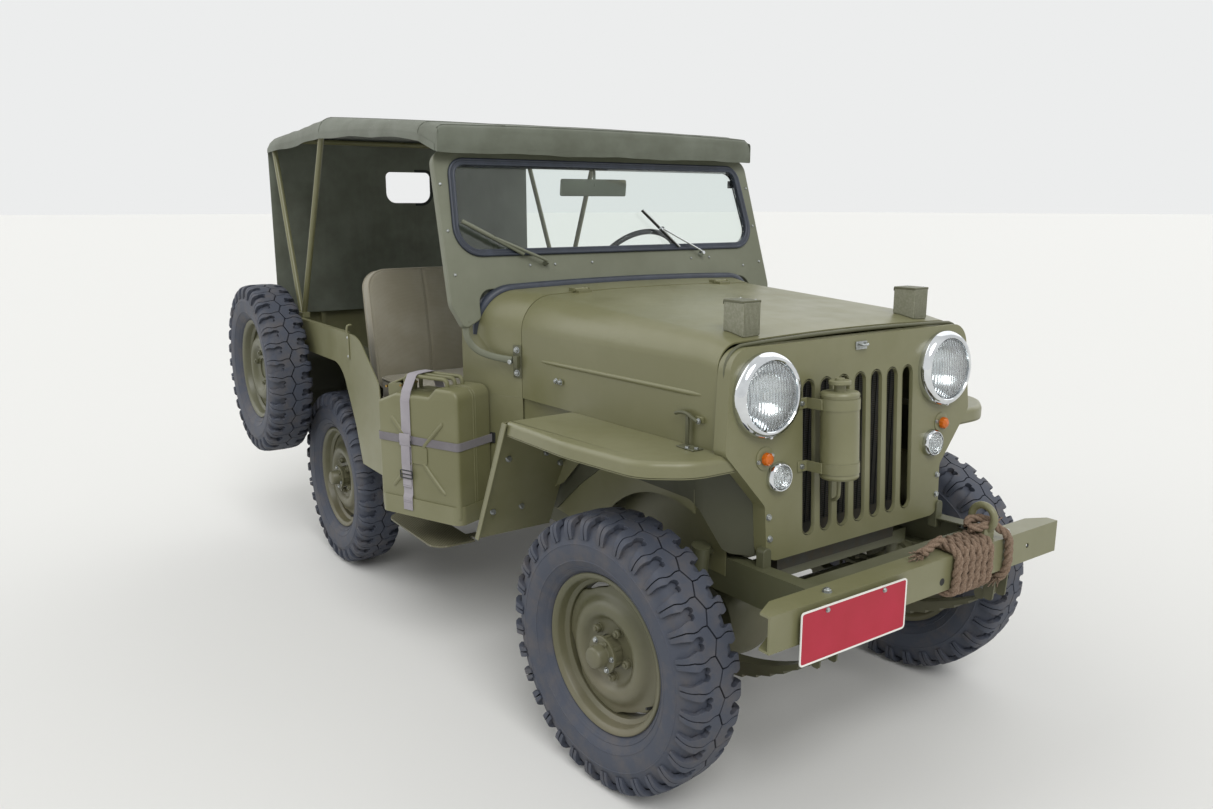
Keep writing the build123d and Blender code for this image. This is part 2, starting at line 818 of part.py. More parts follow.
def hood():
    shell = arch_shell(hood_stations, ledge_height + fit_gap, sheet) - grille_space()
    x, z = hood_hinge
    for y in hinge_places:
        barrel = rod((x, y - hood_barrel_half, z), (x, y + hood_barrel_half, z), hood_barrel)
        leaf = block((x, x + 26), (y - hood_barrel_half, y + hood_barrel_half), (z - 12, z - 1))
        bore = rod((x, y - hood_barrel_half - 1, z), (x, y + hood_barrel_half + 1, z), hood_pin + running_gap)
        shell = fused(shell, fused(barrel, leaf) - bore)
    return shell


def hood_blocks():
    """Rests on the hood for the folded windscreen."""
    x = 150
    pieces = []
    for side in (1, -1):
        across = sorted((side * 305, side * 365))
        pieces.append(block((x - 38, x + 38), across, (1200, 1312)) - hood_solid())
    return pieces


def hood_solid():
    faces = [arch_face(x, half, ledge_height, high, radius) for x, half, high, radius in hood_stations]
    return loft(faces, ruled=True)


# Body panels

def taper_y(x):
    """Half width of the outer face of the cowl sides, which widen towards the doors."""
    share = (cowl_x - x) / (cowl_x - taper_end_x)
    return cowl_half_width + share * (body_half_width - cowl_half_width)


def taper_plan(x0, x1, offset, wall):
    return [(x0, taper_y(x0) + offset, 0), (x1, taper_y(x1) + offset, 0),
            (x1, taper_y(x1) + offset - wall, 0), (x0, taper_y(x0) + offset - wall, 0)]


def cowl_side():
    front = slab_z(taper_plan(cowl_x, door_front_x, 0, sheet), sill_height, ledge_height)
    rear = slab_z(taper_plan(door_front_x, taper_end_x, 0, sheet), sill_height, door_sill)
    return fused(front, rear)


def cowl_top():
    """Cowl sheet with the ears and pins of the hood hinges."""
    stations = [(cowl_x, cowl_half_width, cowl_height, cowl_shoulder),
                (cowl_top_x, taper_y(cowl_top_x), cowl_rear_height, cowl_rear_shoulder)]
    shell = arch_shell(stations, ledge_height, sheet)
    x, z = hood_hinge
    wide = 6
    for y in hinge_places:
        low, high = y - hood_barrel_half - 7, y + hood_barrel_half + 7
        shell = fused(shell, rod((x, low, z), (x, high, z), hood_pin))
        for side in (low, high - wide):
            ear = block((x - 24, x + 5), (side, side + wide), (z - 10, z + 5))
            hood_room = block((cowl_x + 0.01, x + 6), (side - 1, side + wide + 1), (z - 11, z - hood_barrel))
            shell = fused(shell, ear - hood_room)
    return shell


def cowl_cheeks():
    """Upright strips between the cowl and the front edge of each door opening."""
    return slab_z(taper_plan(cowl_top_x, door_front_x, 0, sheet), ledge_height, 1165)


def firewall():
    half = cowl_half_width - sheet - 1
    low = floor_height + floor_sheet
    high = cowl_height - sheet - 12
    corners = [(-half, low, 0), (half, low, 0), (half, high, 108), (-half, high, 108)]
    panel = slab_x(corners, cowl_x - 12, cowl_x - 8)
    column_z = column_height(cowl_x - 10)
    tunnel = rod((cowl_x - 30, column_y, column_z), (cowl_x + 10, column_y, column_z), 42)
    return panel - tunnel


def dashboard():
    front_x = cowl_top_x + sheet
    half = taper_y(front_x) - sheet - 6
    low = 1060
    high = cowl_rear_height - 26
    corners = [(-half, low, 20), (half, low, 20), (half, high, 110), (-half, high, 110)]
    panel = slab_x(corners, cowl_top_x, front_x)
    lip = block((cowl_top_x - 14, front_x), (-half + 30, half - 30), (low, low + 6))
    return fused(panel, lip)


# Wheel arch in the side panel: corners from front to rear, x, z, radius
arch_x = 7 - wheelbase
arch_inner_wall = 490
arch_table = [(arch_x + arch_half, sill_height - 5, 0), (arch_x + arch_half - 60, 700, 60),
              (arch_x + arch_half - 190, 925, 150), (arch_x - arch_half + 190, 925, 150),
              (arch_x - arch_half + 60, 700, 60), (arch_x - arch_half, sill_height - 5, 0)]


def side_panel():
    corners = [(taper_end_x, sill_height, 0), (taper_end_x, door_sill, 0), (door_rear_x + 30, door_sill, 0),
               (door_rear_x, door_sill, 30), (door_rear_x - 15, 900, 60),
               (-wheelbase + 472, rail_top - 2, 180),
               (-wheelbase + 232, rail_top, 60), (body_rear, rail_top, 0), (body_rear, sill_height + 40, 20),
               (-wheelbase - 468, sill_height, 10)]
    panel = slab_y(corners, body_half_width - sheet, body_half_width)
    opening = slab_y(arch_table, body_half_width - sheet - 1, body_half_width + 1)
    lip = block((-wheelbase + 332, body_rear + sheet), (body_half_width - 22, body_half_width - sheet),
                (rail_top - 8, rail_top))
    return fused(panel - opening, lip)


def wheel_box():
    """Housing over a rear wheel inside the load space, open to the side and below."""
    grown = [(a + (6 if a > arch_x else -6), b + (0 if b < 600 else 6), r) for a, b, r in arch_table]
    inner_wall = arch_inner_wall
    outer = slab_y(grown, inner_wall, body_half_width - sheet)
    cavity = slab_y(arch_table, inner_wall + sheet, body_half_width)
    box = outer - cavity
    room = block((body_rear + 43, arch_x + 725), (0, body_half_width + 75), (floor_height + floor_sheet, 1000))
    return box & room


def body_floor():
    x_front = cowl_x - 12
    plan = [(x_front, taper_y(x_front) - sheet - 3, 0), (taper_end_x, body_half_width - sheet - 1, 0),
            (body_rear + sheet, body_half_width - sheet - 1, 0)]
    plan = plan + [(a, -b, r) for a, b, r in reversed(plan)]
    sheet_metal = slab_z(plan, floor_height, floor_height + floor_sheet)
    for side in (1, -1):
        low, high = sorted((side * (arch_inner_wall - sheet), side * (body_half_width + 35)))
        wheel_room = block((arch_x - arch_half - 8, arch_x + arch_half + 8), (low, high), (500, 700))
        sheet_metal = sheet_metal - wheel_room
    edges = []
    for side in (1, -1):
        low, high = sorted((side * (body_half_width - sheet), side * (body_half_width - sheet - 30)))
        edges.append(block((-wheelbase + 492, taper_end_x - 20), (low, high),
                           (sill_height + 4, floor_height)))
    return fused(sheet_metal, *edges)


tailgate_half = 457
tailgate_low = floor_height + 14
tailgate_hinge = (body_rear - 9, tailgate_low - 4)
hinge_pin = 4
hinge_barrel = 8
hinge_half = 29


def rear_panel():
    low = tailgate_half + 6
    heights = (floor_height + floor_sheet, rail_top)
    panel = block((body_rear, body_rear + sheet), (low, body_half_width - sheet), heights)
    post = block((body_rear, body_rear + 26), (low, low + 20), heights)
    return fused(panel, post)


def rear_sill():
    """Sill under the tailgate, with the ears and pins that carry its hinges."""
    reach = body_half_width - sheet
    sill = block((body_rear, body_rear + sheet), (-reach, reach), (sill_height + 20, floor_height))
    x, z = tailgate_hinge
    parts = []
    for y in hinge_places:
        low, high = y - hinge_half - 10, y + hinge_half + 10
        parts.append(rod((x, low, z), (x, high, z), hinge_pin))
        for side_low, side_high in ((low, low + 9), (high - 9, high)):
            ear = block((x - 7, body_rear + 1), (side_low, side_high), (z - 25, z + hinge_pin - 1))
            parts.append(ear)
    return fused(sill, *parts)


def tailgate():
    half = tailgate_half
    high = rail_top - 15
    inset = 60
    panel = block((body_rear - 2, body_rear + 4), (-half, half), (tailgate_low, high))
    swage = [(-half + inset, tailgate_low + inset, 20), (half - inset, tailgate_low + inset, 20),
             (half - inset, high - inset, 20), (-half + inset, high - inset, 20)]
    rib = slab_x(swage, body_rear - 6, body_rear - 2)
    top = block((body_rear - 2, body_rear + 14), (-half, half), (high - 8, high))
    x, z = tailgate_hinge
    gate = fused(panel, rib, top)
    for y in hinge_places:
        barrel = rod((x, y - hinge_half, z), (x, y + hinge_half, z), hinge_barrel)
        leaf = block((x, body_rear - 1), (y - hinge_half, y + hinge_half),
                     (z + hinge_pin + 0.5, z + 36))
        bore = rod((x, y - hinge_half - 1, z), (x, y + hinge_half + 1, z), hinge_pin + running_gap)
        gate = fused(gate, fused(barrel, leaf) - bore)
    return gate


def fender_plan(inset):
    return [(-395, fender_inner + inset, 0), (-395, 712 - inset, 8), (-80, 744 - inset, 300),
            (90, 726 - inset, 150), (215, 684 - inset, 110), (302 - inset, 620, 60),
            (300 - inset, 520, 60), (262, fender_inner + 4 + inset, 0)]


def fender():
    """Front fender: flat top, round front corner and a turned-down lip."""
    low = ledge_height - fender_lip
    under = ledge_height - sheet
    tray = slab_z(fender_plan(0), low, ledge_height) - slab_z(fender_plan(sheet), low - 1, under)
    inner_edge = block((-400, 262), (400, fender_inner + 4), (under, ledge_height))
    x0, z0 = -392, under
    x1, z1 = -585, ledge_height - 410
    skirt = slab_y([(x0, z0, 0), (x0 - 5, z0, 0), (x1 - 5, z1, 0), (x1, z1, 0)], fender_inner, skirt_outer)
    edge = slab_y([(x0 + 22, z0, 0), (x0, z0, 0), (x1, z1, 0), (x1 + 18, z1, 0)],
                  skirt_outer - sheet, skirt_outer)
    nose = leaned(slab_x(grille_outline(0), -grille_depth - 1, 30))
    return fused(tray, inner_edge, skirt, edge) - nose


def apron():
    """Inner panel between the hood ledge and the frame rail."""
    front_x = 300
    rear_x = cowl_x + 1
    under = ledge_height - sheet
    corners = [(front_x, 655, 0), (front_x, under, 0), (rear_x, under, 0), (rear_x, 590, 0),
               (-560, 590, 0), (-430, 700, 60), (-300, 790, 60), (120, 790, 60), (180, 655, 30)]
    plan = [(front_x, 290, 0), (125, 445, 40), (rear_x, 452, 0), (rear_x, 456, 0), (125, 449, 44),
            (front_x, 294.5, 0)]
    wall = slab_z(plan, 500, ledge_height) & slab_y(corners, 200, 600)
    return wall - leaned(block((-grille_depth - fit_gap, 200), (0, 700), (-200, 700)))


def tail_lamps():
    y = body_half_width - 85
    z = 930
    return both(rod((body_rear, y, z), (body_rear - 34, y, z), 42))


# Windscreen

screen_angle = radians(screen_lean)
screen_plane = Plane(origin=(screen_x, 0, screen_top), x_dir=(0, 1, 0),
                     z_dir=(cos(screen_angle), 0, sin(screen_angle)))


def screen_height(z):
    """Distance below the top edge, along the leaning windscreen."""
    return (z - screen_top) / cos(screen_angle)


def on_screen(corners, low, high):
    """Outline in car Y and height, laid on the leaning windscreen, between two depths."""
    flat = outline([(a, screen_height(b), r) for a, b, r in corners], lambda a, b: (a, b, low))
    return screen_plane * Solid.extrude(flat, Vector(0, 0, high - low))


def mirrored_corners(side):
    return side + [(-a, b, r) for a, b, r in reversed(side)]


def glass_hole(inset):
    low = (648 - inset, 1385 + inset, max(88 - inset, 10))
    high = (622 - inset, 1695 - inset, max(58 - inset, 10))
    return mirrored_corners([low, high])


def windscreen_frame():
    side = [(606, 1300, 110), (612, 1190, 20), (655, 1165, 20), (screen_half_low, 1240, 60),
            (screen_half_top, screen_top, 48)]
    plate = on_screen(mirrored_corners(side), -screen_thickness, 0)
    plate = plate - on_screen(glass_hole(0), -screen_thickness - 1, 1)
    arms = []
    front_x = cowl_x - 5
    corners = [(-842, 1170, 6), (-842, 1240, 0), (-795, 1250, 0), (-765, 1150, 60), (-700, 1098, 40),
               (front_x, 1098, 4), (front_x, 1052, 4), (-735, 1052, 60), (-815, 1110, 60)]
    pin_x = cowl_x - 26
    pin_z = 1075
    for sign in (1, -1):
        flat = outline(corners, lambda a, b: (a, sign * (taper_y(a) + 2), b))
        arms.append(Solid.extrude(flat, Vector(0, sign * 12, 0)))
        pin_start = (pin_x, sign * (taper_y(pin_x) - sheet / 2), pin_z)
        pin_end = (pin_x, sign * (taper_y(pin_x) + 24), pin_z)
        arms.append(rod(pin_start, pin_end, 11))
    return fused(plate, *arms) - cowl_top() - flipped(cowl_top())


def windscreen_seal():
    opening = on_screen(glass_hole(seal_width), -screen_thickness, 10)
    return on_screen(glass_hole(fit_gap), -screen_thickness + 4, 6) - opening


def windscreen_glass():
    middle = -screen_thickness / 2
    return on_screen(glass_hole(seal_width), middle - glass_thickness / 2, middle + glass_thickness / 2)


# Wipers: pivot y, pivot z, tip y, tip z
wiper_table = [(-380, 1366, -610, 1500), (320, 1366, 125, 1512)]


def wiper_arms():
    pieces = []
    for y0, z0, y1, z1 in wiper_table:
        start = (y0, screen_height(z0), 0)
        end = (y1, screen_height(z1), 14)
        boss = rod(start, (start[0], start[1], 16), 9)
        arm = rod((start[0], start[1], 14), end, 4)
        run = Vector(y1 - y0, screen_height(z1) - screen_height(z0), 0).normalized() * 105
        blade = rod((end[0] - run.X, end[1] - run.Y, 14), (end[0] + run.X, end[1] + run.Y, 14), 6)
        pieces.append(screen_plane * fused(boss, arm, blade))
    return pieces


# Steering

column_top = (-1240, 1252)
column_foot = (-110, 640)
column_angle = atan2(column_top[1] - column_foot[1], column_foot[0] - column_top[0])


def column_height(x):
    return column_foot[1] + (column_foot[0] - x) * tan(column_angle)


def steering_column():
    low_x = column_foot[0] - 30
    high_x = column_top[0] + (20 + fit_gap) * cos(column_angle)
    column = rod((low_x, column_y, column_height(low_x)), (high_x, column_y, column_height(high_x)),
                 column_radius)
    box = block((-170, -50), (column_y - 40, rail_outer), (rail_level(-50)[0], 700))
    stay = block((-834, -824), (column_y - 14, column_y + 14), (column_height(-829), 1060))
    return fused(column, box, stay)


def steering_wheel():
    rim_ring = Torus(steering_wheel_radius, grip_radius)
    hub = Cylinder(34, 40)
    spokes = []
    for i in range(3):
        turn = radians(90 + 120 * i)
        start, end = [(reach * cos(turn), reach * sin(turn), 0) for reach in (20, steering_wheel_radius)]
        spokes.append(rod(start, end, 7))
    wheel = fused(rim_ring, hub, *spokes)
    direction = Vector(-cos(column_angle), 0, sin(column_angle))
    place = Plane(origin=(column_top[0], column_y, column_height(column_top[0])), x_dir=(0, 1, 0),
                  z_dir=direction)
    return place * wheel


# Seats

seat_rear_x = -1590
seat_base = 795
back_lean = 9

# Places across the car of the two seats
driver_side = (150, 620)
passenger_side = (-640, -170)


def seat(low, high):
    """Cushion and back of one seat, each a closed round-cornered pad."""
    front_x = -1145
    cushion = slab_y([(seat_rear_x, seat_base + 5, 30), (front_x, seat_base + 17, 40), (front_x, 905, 40),
                      (seat_rear_x, 890, 30)], low, high)
    back = slab_x([(low, 820, 40), (high, 820, 40), (high, 1300, 75), (low, 1300, 75)], -45, 45)
    back = Pos(seat_rear_x - 51, 0, 880) * Rot(0, -back_lean, 0) * Pos(0, 0, -880) * back
    back = back - block((seat_rear_x - fit_gap, front_x + 45), (low - 1, high + 1), (700, 906))
    return [cushion, back]


def seat_frames():
    pieces = []
    for low, high in (driver_side, passenger_side):
        tank = block((-1560, -1180), (low + 10, high - 10), (floor_height + floor_sheet, seat_base))
        rails = [block((seat_rear_x, -1150), across, (seat_base, seat_base + 5))
                 for across in ((low + 20, low + 45), (high - 45, high - 20))]
        pieces.append(fused(tank, rails[0] + rails[1]))
    return pieces


# Steps, can, spare wheel

def side_step():
    inner = body_half_width - 85
    low, high = 446, 452
    corners = [(-1205, inner, 0), (-785, inner, 0), (-785, step_reach, 60), (-1205, step_reach, 60)]
    plate = slab_z(corners, low, high)
    stays = []
    for x in (-1150, -840):
        along = (x - 15, x + 15)
        under = min(rail_level(along[0])[1], rail_level(along[1])[1])
        stays.append(block(along, (rail_outer - rail_width + 5, rail_outer + 20), (under - 6, under)))
        stays.append(block(along, (rail_outer + 14, rail_outer + 20), (low, under - 3)))
        stays.append(block(along, (rail_outer + 14, inner + 10), (low, high)))
    return fused(plate, *stays)


def can_place():
    """Outer side of the cowl on the passenger side, where the tray hangs."""
    angle = degrees(atan2(body_half_width - cowl_half_width, cowl_x - taper_end_x))
    return Pos(can_middle_x, -taper_y(can_middle_x), 0) * Rot(0, 0, angle)


tray_play = 0.5
can_gap = sheet + tray_play + fit_gap
can_corner = 28
can_rib = 3


def can_plan(grow, low, high):
    """Round-cornered column as wide and deep as the can, grown on all sides."""
    half = can_length / 2 + grow
    near = -can_gap + grow
    far = -can_gap - can_depth - grow
    radius = can_corner + grow
    corners = [(-half, far, radius), (half, far, radius), (half, near, radius), (-half, near, radius)]
    return slab_z(corners, low, high)


def fuel_can():
    half = can_length / 2
    top = can_low + 440
    face = [(-half, can_low + 6, 18), (half, can_low + 6, 18), (half, top, 34), (80, top, 8),
            (50, top - 30, 8), (-90, top - 30, 8), (-half, top - 62, 14)]
    body = slab_y(face, -can_gap - can_depth, -can_gap) & can_plan(0, can_low, top + 1)
    handles = []
    for share in (0.28, 0.5, 0.72):
        y = -can_gap - can_depth * share
        high = can_low + can_height - 7
        line = [(-85, y, top - 40), (-85, y, high), (95, y, high), (95, y, top - 10)]
        handles.append(bent_bar(line, 7, 14))
    middle = -can_gap - can_depth / 2
    spout = rod((-128, middle, top - 60), (-128, middle, top - 4), 30)
    ribs = []
    low, high = can_low + 92, can_low + 335
    for end in (112, -112):
        bar = [(-end - 9, low, 4), (-end + 9, low, 4), (end + 9, high, 4), (end - 9, high, 4)]
        ribs.append(slab_y(bar, -can_gap - can_depth - can_rib, -can_gap + can_rib))
    return can_place() * fused(body, spout, *handles, *ribs)


def can_tray():
    high = can_low + 62
    room = can_plan(tray_play, can_low + sheet, high + 1)
    return can_place() * (can_plan(sheet + tray_play, can_low, high) - room)


def spare_carrier():
    face = spare_y - disc_face + 6
    pad = rod((spare_x, -body_half_width, spare_z), (spare_x, -body_half_width - 12, spare_z), 110)
    boss = rod((spare_x, -body_half_width, spare_z), (spare_x, face, spare_z), 62)
    flange = rod((spare_x, face + 8, spare_z), (spare_x, face, spare_z), 84)
    return fused(pad, boss, flange)


# Folding top

bow_foot = (-wheelbase - 303, body_half_width - 35, rail_top)
bow_crown = 8
canvas_radius = 64

# Bows: x at the top, height of the canvas over the middle
bow_table = [(-wheelbase + 66, 1905), (body_rear + 63, 1870)]

# Canvas stations: x, half width, hem, height in the middle, shoulder radius
canvas_stations = [(-905, 672, 1712, 1806, 30), (-1010, 690, 1752, 1822, 45),
                   (-1350, canvas_half_width, 1787, 1856, 60),
                   (bow_table[0][0], canvas_half_width, 1812, bow_table[0][1], canvas_radius),
                   (bow_table[1][0], canvas_half_width, 1790, bow_table[1][1], canvas_radius),
                   (body_rear + 31, canvas_half_width, 1788, 1864, canvas_radius)]


def top_bows():
    pieces = []
    for (top_x, canvas_top_z), lean in zip(bow_table, (1, -1)):
        inset = canvas_thickness + fit_gap + bow_radius
        top_z = canvas_top_z - bow_crown - inset
        half = canvas_half_width - inset - 3
        foot_x = bow_foot[0] + lean * 16
        points = [(foot_x, bow_foot[1], rail_top + 14), (top_x, half, top_z), (top_x, -half, top_z),
                  (foot_x, -bow_foot[1], rail_top + 14)]
        pieces.append(bent_bar(points, bow_radius, canvas_radius - inset + 8))
    plates = []
    for side in (1, -1):
        low, high = sorted((side * (bow_foot[1] - 16), side * (bow_foot[1] + 16)))
        plates.append(block((bow_foot[0] - 45, bow_foot[0] + 45), (low, high), (rail_top, rail_top + 22)))
    return fused(*pieces, *plates)


def canvas_loft(inset, first, last, drop):
    """The canvas as a solid over its stations, shrunk by the inset and cut at two X limits."""
    faces = []
    for i, (x, half, low, high, radius) in enumerate(canvas_stations):
        place = first if i == 0 else last if i == len(canvas_stations) - 1 else x
        faces.append(arch_face(place, half - inset, low - drop, high - inset, radius - inset))
    return loft(faces, ruled=True)


def canvas_top():
    wall = canvas_thickness
    front_x = canvas_stations[0][0]
    rear_x, half, low, high, radius = canvas_stations[-1]
    shell = canvas_loft(0, front_x, rear_x, 0) - canvas_loft(wall, front_x - wall, rear_x + wall, 80)
    curtain = Solid.extrude(arch_face(rear_x, half, rail_top + 12, high, radius), Vector(wall, 0, 0))
    corners = [(-120, 1560, 50), (120, 1560, 50), (120, 1712, 25), (-120, 1712, 25)]
    window = slab_x(corners, rear_x - 50, rear_x + 50)
    return fused(shell, curtain) - window


# Every named piece with its solids
nodes = {}


def add(name, pieces):
    nodes[name] = pieces if isinstance(pieces, list) else [pieces]


corner_names = {(0, 1): "front_left", (0, -1): "front_right", (1, 1): "rear_left", (1, -1): "rear_right"}
for (row, side), label in corner_names.items():
    axle_x = -wheelbase * row
    for piece_name, shape in (("tyre", tyre_shape), ("wheel", road_wheel())):
        placed = wheel_place(axle_x, side) * outward(shape, side)
        add(piece_name + "_" + label, steered(placed, side) if row == 0 else placed)
for side, label in ((1, "left"), (-1, "right")):
    add("knuckle_" + label, steered(knuckle(side), side))
spare_place = Pos(spare_x, spare_y, spare_z)
add("tyre_spare", spare_place * outward(tyre_shape, -1))
add("wheel_spare", spare_place * outward(spare_disc(), -1))
add("spare_carrier", spare_carrier())
add("tie_rod", tie_rod())
front_pads, rear_pads = [axle_pads(centre, span, rise, x) for centre, span, rise, height, x in spring_table]
add("front_axle", fused(front_axle(), *front_pads))
add("rear_axle", fused(rear_axle(), *rear_pads))
add("leaf_springs", [piece for solid in spring_set() for piece in both(solid)])
add("frame_rails", both(frame_rail()))
add("cross_members", cross_members() + body_mounts())
add("shock_absorbers", [piece for row in shock_table for piece in both(shock(*row))])
add("engine_block", engine_block())
add("gearbox", gearbox())
add("prop_shafts", prop_shafts())
add("exhaust", exhaust())
add("radiator", radiator())
add("tow_fittings", [pintle_hook(), tow_ring()])
add("front_bumper", front_bumper())
add("number_plate", number_plate())
add("rope_winding", rope_winding())
add("grille", grille())
add("lamps", front_lamps() + tail_lamps())
add("surge_tank", surge_tank())
add("hood", hood())
add("hood_blocks", hood_blocks())
add("cowl_sides", both(cowl_side()))
add("cowl_top", fused(cowl_top(), *both(cowl_cheeks())))
add("firewall", firewall())
add("dashboard", dashboard())
add("side_panels", both(side_panel()))
add("wheel_boxes", both(wheel_box()))
add("body_floor", body_floor())
add("rear_panels", both(rear_panel()) + [rear_sill()])
add("tailgate", tailgate())
add("front_fenders", both(fender()))
add("fender_aprons", both(apron()))
add("windscreen_frame", windscreen_frame())
add("windscreen_seal", windscreen_seal())
add("windscreen_glass", windscreen_glass())
add("wiper_arms", wiper_arms())
add("steering_column", steering_column())
add("steering_wheel", steering_wheel())
add("driver_seat", seat(*driver_side))
add("passenger_seat", seat(*passenger_side))
add("seat_frames", seat_frames())
add("side_steps", both(side_step()))
add("fuel_can", fuel_can())
add("can_tray", can_tray())
add("top_bows", top_bows())
add("canvas_top", canvas_top())

if __name__ == "__main__":
    os.makedirs("parts", exist_ok=True)
    for name, pieces in nodes.items():
        solids = [solid for piece in pieces for solid in piece.solids()]
        moved = [Pos(-origin_x, -origin_y, 0) * solid for solid in solids]
        export_step(moved[0] if len(moved) == 1 else Compound(moved), "parts/" + name + ".step")
    print(len(nodes), "pieces written; origin", origin_x, origin_y)
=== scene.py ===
import bpy
import json
from math import atan2, cos, pi, radians, sin, sqrt, tan
from mathutils import Matrix, Vector
from mathutils.bvhtree import BVHTree


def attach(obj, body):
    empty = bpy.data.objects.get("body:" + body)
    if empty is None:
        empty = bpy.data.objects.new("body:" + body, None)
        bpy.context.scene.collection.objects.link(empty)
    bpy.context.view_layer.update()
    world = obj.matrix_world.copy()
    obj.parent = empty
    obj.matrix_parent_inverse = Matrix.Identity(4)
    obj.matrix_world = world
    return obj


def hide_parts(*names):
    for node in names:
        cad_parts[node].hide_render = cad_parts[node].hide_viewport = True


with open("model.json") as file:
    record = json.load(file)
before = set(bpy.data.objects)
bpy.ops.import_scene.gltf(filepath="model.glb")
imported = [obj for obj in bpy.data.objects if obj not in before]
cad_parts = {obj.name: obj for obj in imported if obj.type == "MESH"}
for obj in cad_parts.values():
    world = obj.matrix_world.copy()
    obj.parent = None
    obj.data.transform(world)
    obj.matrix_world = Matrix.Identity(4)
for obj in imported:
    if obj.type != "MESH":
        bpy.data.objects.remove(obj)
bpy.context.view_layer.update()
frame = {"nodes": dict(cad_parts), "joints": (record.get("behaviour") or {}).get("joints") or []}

jointPlaces = {joint["name"]: Vector(joint["pos_m"]) for joint in frame["joints"]}

# Sizes are in metres from a point on the ground under the front axle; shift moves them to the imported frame
wheelbase = 2.032
wheelRadius = .377
halfTrack = .615
parkedSteer = radians(6)
kingpinReach = .56
sparePlace = (-2.428, -.834, .825)
shift = jointPlaces["rear_left_spin"] - Vector((-wheelbase, halfTrack, wheelRadius))
print("frame loaded")


# Small helpers for modelling

def deselectAll():
    if bpy.context.object and bpy.context.object.mode != "OBJECT":
        bpy.ops.object.mode_set(mode="OBJECT")
    bpy.ops.object.select_all(action="DESELECT")


def activate(piece):
    deselectAll()
    piece.select_set(True)
    bpy.context.view_layer.objects.active = piece


def editAll(piece):
    activate(piece)
    bpy.ops.object.mode_set(mode="EDIT")
    bpy.ops.mesh.select_mode(type="VERT")
    bpy.ops.mesh.select_all(action="SELECT")


def leaveEdit():
    bpy.ops.object.mode_set(mode="OBJECT")


def pointFacesOut():
    bpy.ops.mesh.select_all(action="SELECT")
    bpy.ops.mesh.normals_make_consistent(inside=False)
    leaveEdit()


def flipFaces(piece):
    editAll(piece)
    bpy.ops.mesh.flip_normals()
    leaveEdit()


def mergeClose(distance):
    bpy.ops.mesh.remove_doubles(threshold=distance)


def selectFaces(piece, wanted):
    # leaves edit mode on, with the wanted faces selected
    editAll(piece)
    bpy.ops.mesh.select_mode(type="FACE")
    bpy.ops.mesh.select_all(action="DESELECT")
    leaveEdit()
    for polygon in piece.data.polygons:
        polygon.select = bool(wanted(polygon))
    bpy.ops.object.mode_set(mode="EDIT")


def useModifier(piece, kind, **settings):
    activate(piece)
    modifier = piece.modifiers.new(kind, kind)
    for key, value in settings.items():
        setattr(modifier, key, value)
    bpy.ops.object.modifier_apply(modifier=modifier.name)
    return piece


def cutAway(piece, cutter):
    return useModifier(piece, "BOOLEAN", operation="DIFFERENCE", object=cutter, solver="EXACT")


def discard(*pieces):
    for piece in pieces:
        bpy.data.objects.remove(piece)


def roundEdges(piece, width, segments=2, angle=35):
    return useModifier(piece, "BEVEL", width=width, segments=segments, limit_method="ANGLE",
                       angle_limit=radians(angle), use_clamp_overlap=True)


def boxPiece(low, high, edge=.0, segments=2):
    deselectAll()
    middle = [(a + b) / 2 for a, b in zip(low, high)]
    bpy.ops.mesh.primitive_cube_add(size=1, location=middle)
    piece = bpy.context.object
    piece.scale = [b - a for a, b in zip(low, high)]
    bpy.ops.object.transform_apply(location=True, rotation=True, scale=True)
    return roundEdges(piece, edge, segments) if edge else piece


def tracedLine(points, closed=False):
    # one vertex extruded from point to point, filled when it closes
    deselectAll()
    bpy.ops.mesh.primitive_plane_add(size=.01)
    piece = bpy.context.object
    editAll(piece)
    bpy.ops.mesh.merge(type="CENTER")
    bpy.ops.transform.translate(value=points[0])
    for before, after in zip(points, points[1:]):
        bpy.ops.mesh.extrude_region_move(TRANSFORM_OT_translate={"value": Vector(after) - Vector(before)})
    if closed:
        bpy.ops.mesh.select_all(action="SELECT")
        bpy.ops.mesh.edge_face_add()
    leaveEdit()
    return piece


def cutPlate(points, thickness, edge=.0, segments=2):
    # a filled outline given its thickness by one extrusion
    piece = tracedLine(points, closed=True)
    editAll(piece)
    bpy.ops.mesh.extrude_region_move(TRANSFORM_OT_translate={"value": thickness})
    pointFacesOut()
    return roundEdges(piece, edge, segments) if edge else piece


def roundedBox(low, high, radii, steps=6):
    # points round a box from (a, b) to (a, b), from the arc at its high corner on
    points = []
    for number, (a, b, radius) in enumerate(zip((1, -1, -1, 1), (1, 1, -1, -1), radii)):
        middle = (high if a > 0 else low)[0] - radius * a, (high if b > 0 else low)[1] - radius * b
        for step in range(steps + 1):
            angle = radians(90 * number + step * 90 / steps)
            points.append((middle[0] + radius * cos(angle), middle[1] + radius * sin(angle)))
    return points


def spunPiece(profile, axis, steps=48):
    # an outline of (along, radius) turned about X, Y or Z
    places = {"X": lambda a, r: (a, 0, r), "Y": lambda a, r: (0, a, r), "Z": lambda a, r: (r, 0, a)}
    axes = {"X": (1, 0, 0), "Y": (0, 1, 0), "Z": (0, 0, 1)}
    piece = tracedLine([places[axis](a, r) for a, r in profile])
    editAll(piece)
    bpy.ops.mesh.spin(steps=steps, angle=2 * pi, center=(0, 0, 0), axis=axes[axis])
    bpy.ops.mesh.select_all(action="SELECT")
    mergeClose(.00002)
    pointFacesOut()
    return piece


